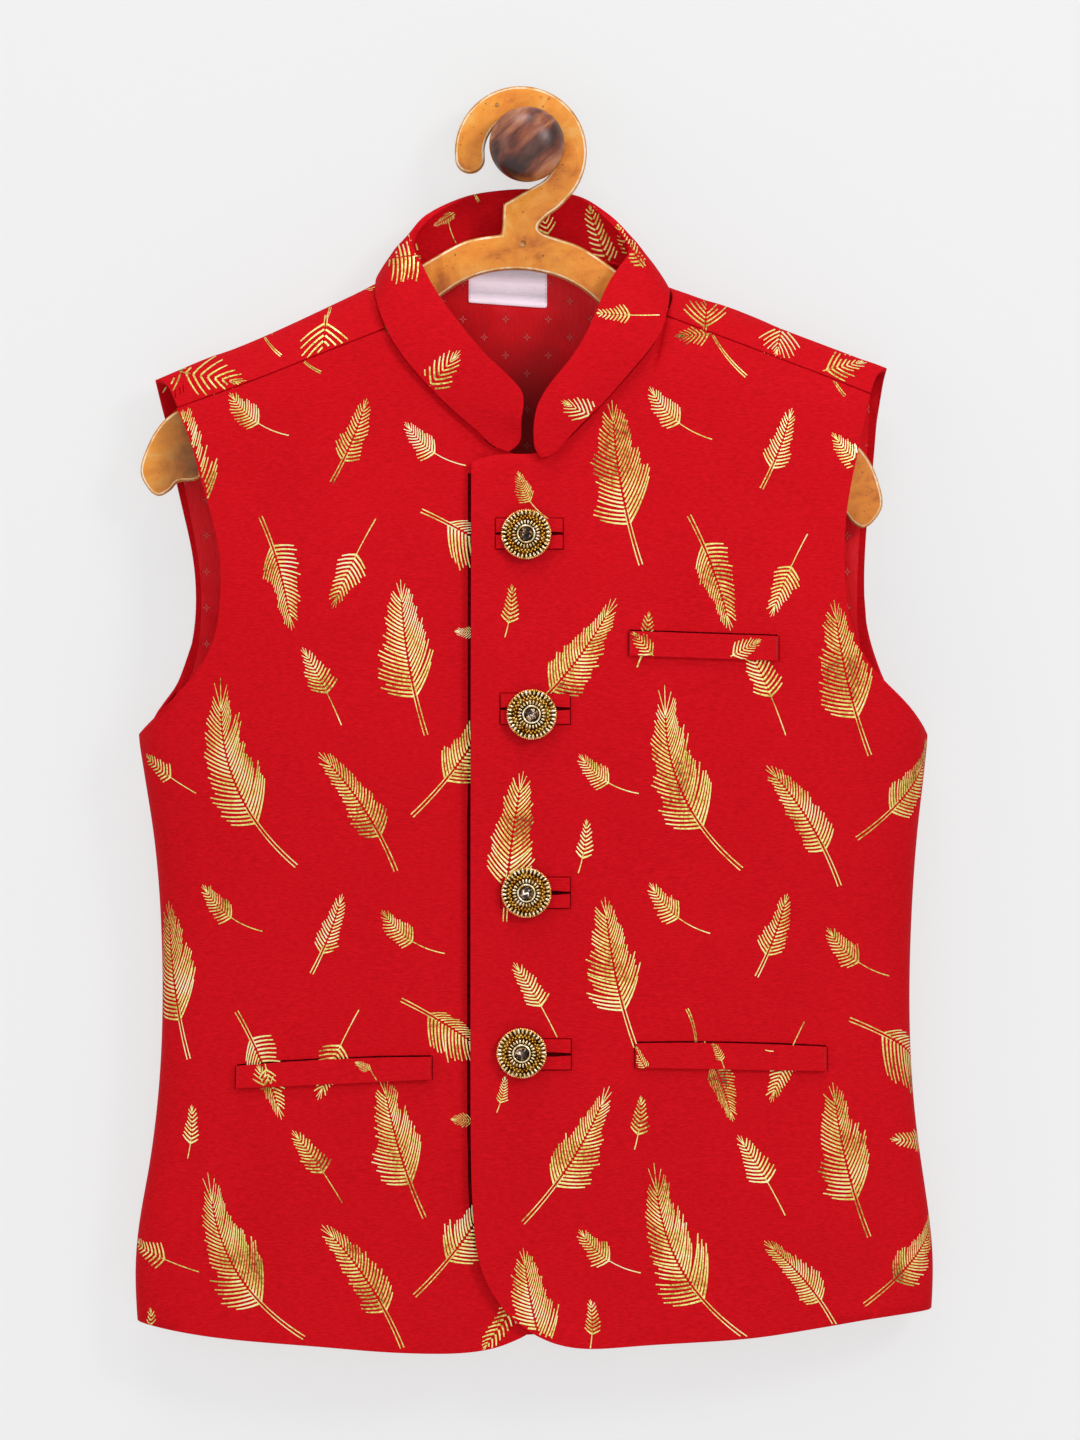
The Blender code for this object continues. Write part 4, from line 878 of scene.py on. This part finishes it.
layPrint("rightFrontPrint", "rightFrontPanel", rowsOf("rightFrontPanel"), rolled=True)
layPrint("leftFrontPrint", "leftFrontPanel", rowsOf("leftFrontPanel"), rolled=True)
layPrint("shoulderPrint", "backPanel", rowsOf("shoulders"))
layPrint("collarPrint", "bandCollar", rowsOf("bandCollar"))
layPrint("backPrint", "backPanel", repeated((0, 1, 2), (-2, -1, 0, 1)), behind=True, rolled=True)
layPrint("collarBackPrint", "bandCollar", repeated((0, 1), (1, 2)), behind=True)
for welt in ("breastWelt", "lowerWeltLeft", "lowerWeltRight"):
    layPrint(welt + "Print", welt, rowsOf(welt))


# painted shade and dark seams: painted shade in the mouths of the pockets, the slits of the buttonholes, beside the
# upper front's edge and under the collar's edges; dark seams round the buttonholes' lips, at the welts' ends and at the
# tacks

seams = {"lift": 0.1, "step": 2.5, "steps": 260, "walk": 0.3, "shadow": 1.5, "under": 0.55, "mouth": 0.34,
         "slit": 0.4, "round": 0.12, "off": 0.3, "lip": 6.3, "tack": (0.3, -3.2)}
seamLines = {  # the mouths of the pockets, laid as painted shade, the ends of their welts and the tacks beside the armhole
    "rightFrontPanel": {
        "mouth": (((-121.2, -385.3), (-101, -383.4), (-80.6, -382.3), (-60, -381.5), (-40, -381.3)),),
        "round": (((-121.8, -385.4), (-122, -395.4)), ((-39.5, -381.2), (-39.4, -391.4)))},
    "leftFrontPanel": {
        "mouth": (((42.8, -203.7), (104.6, -205.8)),
                  ((45.4, -375.6), (65, -375.3), (85.2, -375.6), (105, -376.2), (125, -377.3))),
        "round": (((42.2, -203.8), (42.2, -214.6)), ((105.2, -205.8), (105.2, -216.6)),
                  ((44.8, -375.8), (45, -386.4)), ((125.6, -377.2), (125.8, -388)))},
    "backPanel": {"round": [((x, z), (x + seams["tack"][0], z + seams["tack"][1])) for x, z in (
        (-149.2, -103.4), (-147.6, -102.8), (-145.6, -101.6), (-144.2, -100.6))]},
}


def lineStrip(corners, half):
    strip = []
    for start, end in zip(np.array(corners), np.array(corners)[1:]):
        steps = max(1, round(float(np.hypot(*(end - start))) / seams["step"]))
        strip += [(start + (end - start) * step / steps, half) for step in range(steps + 1)]
    return strip


def edgeFrom(piece, starts, way):
    # from each start a step at a time along the way, until the piece is met: the line of its edge
    cast = castOn(piece)
    line = []
    for start in starts:
        for step in range(seams["steps"]):
            x, z = np.array(start) + np.array(way) * seams["walk"] * step
            if cast(x, z)[0] is not None:
                line.append((x, z))
                break
    return line


edgeStarts = {
    "front": [(-34, z) for z in range(-138, -468, -6)],
    "collarLeft": [(x, x * 0.9 - 142) for x in range(-88, -10, 3)],
    "collarRight": [(x, -150) for x in range(14, 92, 3)],
}
frontEdge = edgeFrom(panels["leftFrontPanel"], edgeStarts["front"], (1, 0))
collarLeft, collarRight = (edgeFrom(panels["bandCollar"], edgeStarts[side], (0, 1))
                           for side in ("collarLeft", "collarRight"))
for name, lines in seamLines.items():
    # painted shade in the pockets' mouths
    strips = [lineStrip(line, seams["mouth"]) for line in lines.get("mouth", ())]
    if name == "rightFrontPanel":
        # painted shadow beside the upper front's edge and under the collar's left edge
        strips += [lineStrip(frontEdge, seams["shadow"]), lineStrip(collarLeft, seams["under"])]
    strips += [lineStrip(line, seams["round"]) for line in lines["round"]]
    if name == "leftFrontPanel":
        # painted shadow under the collar's right edge
        strips.append(lineStrip(collarRight, seams["under"]))
        for _, _, left, right, slit in holes["rows"]:
            left, right = left - seams["off"], right + seams["off"]
            top, foot = slit + seams["lip"] + seams["off"], slit - seams["lip"] - seams["off"]
            corners = ((left, foot), (left, top), (right, top), (right, foot), (left, foot))
            strips += [lineStrip(side, seams["round"]) for side in zip(corners, corners[1:])]
            # painted shade in the slit, wider where it opens
            strips.append([(place, seams["slit"] + holes["open"] * openAt(place[0], left, right))
                           for place, _ in lineStrip(((left, slit), (right, slit)), 0)])
    laid = dropStrips(panels[name], strips, seams["lift"])
    prints.append(laidPiece(name.replace("Panel", "Seams"), laid, shadedCloth))


# buttons: a domed disc, an outer and an inner ring of long beads, a pitted ring between, a set stone

buttonShape = {
    "radius": 10.3, "rim": 1.2, "segments": 48, "facing": 0.9, "bead": (8, 6), "uneven": 0.07, "wave": 5,
    "steps": ((1.1, 0.1), (1.5, 0.35), (1.7, 0.45), (1.9, 0.45), (0.9, 0.3)),  # inset and lift of the domed face
    "bezel": (3.5, 0.42), "bezelSteps": (40, 10), "bezelAt": 3.15, "stone": (3.1, 1.75, 1.5), "stoneSides": 10,
    "stoneBevel": 0.35, "stoneAt": 3.55, "smooth": 80, "discSmooth": 30, "seat": 2.3, "turns": (0.1, 0.9, 2.1, 3),
}
beadRings = (  # name, count, distance, size, height, finish, start
    ("outerBeads", 34, 9.35, (1.45, 0.6, 1), 1.55, buttonBright, 0),
    ("rimBeads", 34, 10.1, (0.5, 0.62, 0.5), 1, buttonGold, 0.5),
    ("pittedRing", 28, 6.75, (0.56, 0.5, 0.62), 2, buttonGold, 0.3),
    ("pittedRingOut", 28, 7.5, (0.56, 0.5, 0.62), 1.75, buttonGold, 0.8),
    ("innerBeads", 24, 5.1, (1.05, 0.5, 0.9), 2.75, buttonBright, 0),
)


def beadOf(segments, rings, radius, size, **place):
    bead = shaped(bpy.ops.mesh.primitive_uv_sphere_add, segments=segments, ring_count=rings, radius=radius * mm,
                  **place)
    bpy.ops.object.mode_set(mode="EDIT")
    bpy.ops.transform.resize(value=size)
    leaveEdit()
    smoothShade(bead, buttonShape["smooth"])
    return bead


def ringOf(name, count, distance, size, height, finish, start):
    # one bead is shaped, then copied round
    bead = beadOf(*buttonShape["bead"], 1, size)
    beads = []
    for number in range(count):
        uneven = 1 + buttonShape["uneven"] * math.sin(buttonShape["wave"] * number + count)
        turned = linked(name, bead.data.copy())
        turned.matrix_world = (Matrix.Rotation(2 * math.pi * (number + start) / count, 4, "Z")
                               @ Matrix.Translation((distance * mm, 0, height * mm))
                               @ Matrix.Diagonal((uneven, 1, uneven, 1)))
        beads.append(turned)
    bpy.data.objects.remove(bead)
    ring = joinPieces(beads, name)
    ring.data.materials.append(finish)
    return ring


def buttonDisc():
    radius, rim = buttonShape["radius"] * mm, buttonShape["rim"] * mm
    disc = shaped(bpy.ops.mesh.primitive_cylinder_add, vertices=buttonShape["segments"], radius=radius, depth=rim,
                  location=(0, 0, rim / 2))
    bpy.ops.object.transform_apply(location=True, rotation=True, scale=True)
    editChosen(disc, "polygons", lambda face: face.normal.z > buttonShape["facing"])
    for inset, lift in buttonShape["steps"]:
        bpy.ops.mesh.inset(thickness=inset * mm)
        bpy.ops.transform.translate(value=(0, 0, lift * mm))
    leaveEdit()
    smoothShade(disc, buttonShape["discSmooth"])
    disc.data.materials.append(buttonDark)
    return disc


def setStone():
    foot, table, high = buttonShape["stone"]
    stone = shaped(bpy.ops.mesh.primitive_cone_add, vertices=buttonShape["stoneSides"], radius1=foot * mm,
                   radius2=table * mm, depth=high * mm)
    startEdit(stone)
    bpy.ops.mesh.bevel(offset=buttonShape["stoneBevel"] * mm, segments=1)
    bpy.ops.mesh.poke()
    leaveEdit()
    stone.data.transform(Matrix.Translation((0, 0, buttonShape["stoneAt"] * mm)))
    stone.data.materials.append(crystal)
    return stone


def bezelRing():
    (major, minor), (around, across) = buttonShape["bezel"], buttonShape["bezelSteps"]
    ring = shaped(bpy.ops.mesh.primitive_torus_add, major_radius=major * mm, minor_radius=minor * mm,
                  major_segments=around, minor_segments=across)
    smoothShade(ring, buttonShape["smooth"])
    ring.data.transform(Matrix.Translation((0, 0, buttonShape["bezelAt"] * mm)))
    ring.data.materials.append(buttonBright)
    return ring


button = joinPieces([buttonDisc(), *(ringOf(*row) for row in beadRings), bezelRing()], "buttonModel")
stone = setStone()
for number, (x, z, *_) in enumerate(holes["rows"], 1):
    low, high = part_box(f"button_{number}")
    stoneLow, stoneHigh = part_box(f"button_stone_{number}")
    outward = ((stoneLow + stoneHigh) / 2 - (low + high) / 2).normalized()
    seat = (low + high) / 2 - outward * buttonShape["seat"] * mm + Vector((0, -liftAt(x, z) * mm, 0))
    where = (Matrix.Translation(seat) @ outward.to_track_quat("Z", "Y").to_matrix().to_4x4()
             @ Matrix.Rotation(buttonShape["turns"][number - 1], 4, "Z"))
    for source, name, node, slotName in ((button, f"button{number}", f"button_{number}", "button_metal"),
                                         (stone, f"buttonStone{number}", f"button_stone_{number}", "button_stone")):
        made = linked(name, source.data.copy())
        made.data.transform(where)
        made.data.update()
        finishPiece(made, (node,), slotName)
bpy.data.objects.remove(button)
bpy.data.objects.remove(stone)
print("buttons made")


# hanger, its two brads, the wall knob and the neck label

boardShape = {
    "edge": 1.1, "rounds": 3, "between": 4, "short": 1.2, "near": 2, "corners": ((-10, -24.4), (-10.6, -37.2)),
    "pulls": (  # x, z, wide and the move: the stem's sides and the notch beside it, brought to the board's own line
        (-8.4, -23.4, 1.6, -1.5, -1), (-10, -27, 1.4, -0.1, -0.6), (-11.2, -33, 2, 0.9, 0),
        (-13.8, -36.8, 1.8, 3, -0.4), (7.4, -32.6, 3.4, -1.7, -0.9)),
    "brads": ((-12.6, 17.2, 1), (-1.7, -41.2, 1.5)), "bradAt": -21.6, "bradSize": (1, 0.35, 1),
    "bradSteps": (16, 8), "rounding": (-0.6, -0.1), "side": 0.1, "facing": 0.9, "flat": 0.98, "smooth": 35,
}
knobShape = {"corners": (42, 0.5, 2), "smooth": 40}  # corners: sharp, crease, levels
labelShape = {"corners": (40, 0.5, 3), "smooth": 60, "flat": (0.033, 0.0185)}


def outlineOf(piece):
    # the line round a flat board where its side meets the rounding of its front edge, point by point
    mesh = bmesh.new()
    mesh.from_mesh(piece.data)
    beside = {}
    for edge in mesh.edges:
        turns = sorted(face.normal.y for face in edge.link_faces)
        if (len(turns) == 2 and boardShape["rounding"][0] < turns[0] < boardShape["rounding"][1]
                and abs(turns[1]) < boardShape["side"]):
            first, second = edge.verts
            beside.setdefault(first, []).append(second)
            beside.setdefault(second, []).append(first)
    point = next(iter(beside))
    loop, last = [], None
    while point not in loop:
        loop.append(point)
        last, point = point, next(other for other in beside[point] if other is not last)
    line = np.array([(p.co.x, p.co.z) for p in loop]) / mm
    mesh.free()
    return line


def smoothLine(line):
    # a smooth line through all the points, broken at the corners
    sharp = [any(np.hypot(*(spot - np.array(corner))) < boardShape["near"] for corner in boardShape["corners"])
             for spot in line]

    def through(run, size):
        return run / np.hypot(*run) * size

    count, made = len(line), []
    for k, start in enumerate(line):
        end, before, after = line[(k + 1) % count], line[k - 1], line[(k + 2) % count]
        size = np.hypot(*(end - start))
        leave = (end - start) if sharp[k] else through(end - before, size)
        arrive = (end - start) if sharp[(k + 1) % count] else through(after - start, size)
        steps = boardShape["between"] if size > boardShape["short"] else 1
        for t in (step / steps for step in range(steps)):
            made.append((2 * t ** 3 - 3 * t ** 2 + 1) * start + (t ** 3 - 2 * t ** 2 + t) * leave
                        + (3 * t ** 2 - 2 * t ** 3) * end + (t ** 3 - t ** 2) * arrive)
    return np.array(made)


rough = copyNode("hanger", "hangerRough")
line = outlineOf(rough)
bpy.data.objects.remove(rough)
line = smoothLine(line + sum(np.outer(swell(*line.T, x, z, wide, wide), move)
                             for x, z, wide, *move in boardShape["pulls"]))
low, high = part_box("hanger")
hanger = meshPiece("hangerBoard", [(x * mm, low.y, z * mm) for x, z in line], [tuple(range(len(line)))])
startEdit(hanger)
bpy.ops.mesh.extrude_region_move(TRANSFORM_OT_translate={"value": (0, high.y - low.y, 0)})
leaveEdit()
faceOutward(hanger)
rims = {key for face in hanger.data.polygons if abs(face.normal.y) > boardShape["facing"] for key in face.edge_keys}
editChosen(hanger, "edges", lambda edge: edge.key in rims)
bpy.ops.mesh.select_mode(type="EDGE")
bpy.ops.mesh.bevel(offset=boardShape["edge"] * mm, segments=boardShape["rounds"], profile=0.5)
bpy.ops.mesh.select_mode(type="VERT")
leaveEdit()
hanger.data.materials.append(board)
hanger.data.materials.append(boardEdge)
for face in hanger.data.polygons:
    face.material_index = 0 if abs(face.normal.y) > boardShape["flat"] else 1
finishPiece(hanger, ("hanger",), "plywood", angle=boardShape["smooth"])

brads = [beadOf(*boardShape["bradSteps"], radius, boardShape["bradSize"],
                location=(x * mm, boardShape["bradAt"] * mm, z * mm)) for x, z, radius in boardShape["brads"]]
finishPiece(joinPieces(brads, "hangerBrads"), (), "plywood", brass)
knob = softened("wall_knob", "wallKnob", walnut, *knobShape["corners"])
finishPiece(knob, ("wall_knob",), "walnut", angle=knobShape["smooth"])
label = softened("neck_label", "neckLabel", labelCloth, *labelShape["corners"])
finishPiece(label, ("neck_label",), "label", angle=labelShape["smooth"])
print("hanger, knob and label made")


# sewing: short raised stitches along lines laid on a panel

stitches = {"pitch": 1.7, "long": 1.2, "wide": 0.26, "high": 0.16, "foot": 0.1, "smooth": 80,
            "profile": ((-0.5, 0.3, 0.05), (-0.28, 1, 1), (0.28, 1, 1), (0.5, 0.3, 0.05))}
sewing = {
    "breastWelt": (((43.4, -204.6), (43.4, -213.8)), ((104, -206.7), (104, -215.8))),
    "lowerWeltLeft": (((-120.6, -386), (-120.9, -394.4)), ((-40.7, -382.4), (-40.6, -390.6))),
    "lowerWeltRight": (((46, -376.6), (46.2, -385.6)), ((124.4, -378.2), (124.5, -387.2))),
    "label": (((-23.9, -52), (-23.9, -65)), ((7.7, -52), (7.7, -67.2))),
}


def sewPiece(name, panel, finish, slotName):
    cast = castOn(panel)
    points, faces = [], []
    for start, end in np.array(sewing[name]):
        size = math.hypot(*(end - start))
        ahead = (end - start) / size
        for number in range(max(1, int(size / stitches["pitch"]))):
            middle = start + ahead * stitches["pitch"] * (number + 0.5)
            ring = []
            for run, half, lift in stitches["profile"]:
                for side in (1, 0, -1):
                    off = squareTo(ahead) * stitches["wide"] / 2 * half * side
                    hit, normal = cast(*(middle + ahead * stitches["long"] * run + off))
                    if hit is not None:
                        high = stitches["high"] * (lift if side == 0 else stitches["foot"])
                        ring.append(hit + normal * mm * high)
            if len(ring) == 3 * len(stitches["profile"]):
                corners = [len(points) + row * 3 + side for row in range(3) for side in range(2)]
                points += ring
                faces += [(a, a + 1, a + 4, a + 3) for a in corners]
    piece = meshPiece(name + "Sewing", points, faces)
    faceOutward(piece)
    for face in piece.data.polygons:
        if face.normal.y > 0:
            face.flip()
    finishPiece(piece, (), slotName, finish, stitches["smooth"])


for name in ("breastWelt", "lowerWeltLeft", "lowerWeltRight"):
    sewPiece(name, panels[name], redThread, "brocade")
sewPiece("label", label, paleThread, "label")
print("sewing made")


# the laid prints and seam strips are attached to the root

for piece in prints:
    finishPiece(piece, (), "brocade")
for name, (node, levels, wide, high, area, held, on, laid) in cuts.items():
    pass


# stage: pale wall and floor, soft light, camera square to the wall

room = {"wide": 6, "wallAt": 0.0006, "floorAt": -0.95, "middle": Vector((0.00546, -0.02, -0.24108)),
        "seen": 0.6048, "away": 4, "sensor": 36, "sky": 0.455}


def paleFinish(name, level, glow):
    @finishOf(name, {"Roughness": 0.9, "Specular IOR Level": 0.1, "Emission Color": grey(1),
                     "Emission Strength": glow})
    def finish(place):
        return {"Base Color": mixOf(timesOf(noiseOf(place, 60, 3), 0.02), grey(level), grey(0.3))}
    return finish


def stageSheet(name, location, turn, finish):
    sheet = shaped(bpy.ops.mesh.primitive_plane_add, size=room["wide"], location=location, rotation=(turn, 0, 0))
    sheet.name = name
    sheet.data.materials.append(finish)
    return sheet


# the wall is seen from the room alone, so that the back can be looked at
paleWall = paleFinish("paleWall", 0.22, 0.65)
tree = paleWall.node_tree
clear = addNode("BsdfTransparent", {}, tree).outputs["BSDF"]
behind = addNode("NewGeometry", {}, tree).outputs["Backfacing"]
both = addNode("MixShader", {"Fac": behind, 1: tree.nodes["Principled BSDF"].outputs["BSDF"], 2: clear})
feed(tree.nodes["Material Output"], {"Surface": both.outputs["Shader"]})
wall = stageSheet("wall", (0, room["wallAt"], 0), math.pi / 2, paleWall)
for kind in ("diffuse", "glossy", "transmission", "shadow"):
    setattr(wall, "visible_" + kind, False)
stageSheet("floor", (0, 0, room["floorAt"]), 0, paleFinish("paleFloor", 0.6, 0.2))

lamps = (  # name, place, size, watts
    ("keyLamp", (1.5, -1.75, 0.85), 0.6, 19), ("fillLamp", (-2.3, -1.4, 0.35), 1.6, 11),
    ("frontLamp", (0.2, -3, -0.3), 1.2, 6), ("topLamp", (-0.3, -0.7, 1.8), 1, 18))
for name, place, size, watts in lamps:
    light = bpy.data.lights.new(name, "AREA")
    light.size, light.energy = size, watts
    lamp = linked(name, light)
    lamp.location = place
    lamp.rotation_euler = (room["middle"] - lamp.location).to_track_quat("-Z", "Y").to_euler()

sky = bpy.data.worlds.new("studio")
bpy.context.scene.world = sky
sky.use_nodes = True
feed(sky.node_tree.nodes["Background"], {"Color": grey(1), "Strength": room["sky"]})
bpy.context.scene.view_settings.view_transform = "Standard"

lens = bpy.data.cameras.new("camera")
lens.sensor_width = room["sensor"]
lens.lens = room["sensor"] * room["away"] / room["seen"]
camera = linked("camera", lens)
camera.location = room["middle"] + Vector((0, -room["away"], 0))
camera.rotation_euler = (math.pi / 2, 0, 0)
bpy.context.scene.camera = camera
print("stage set")
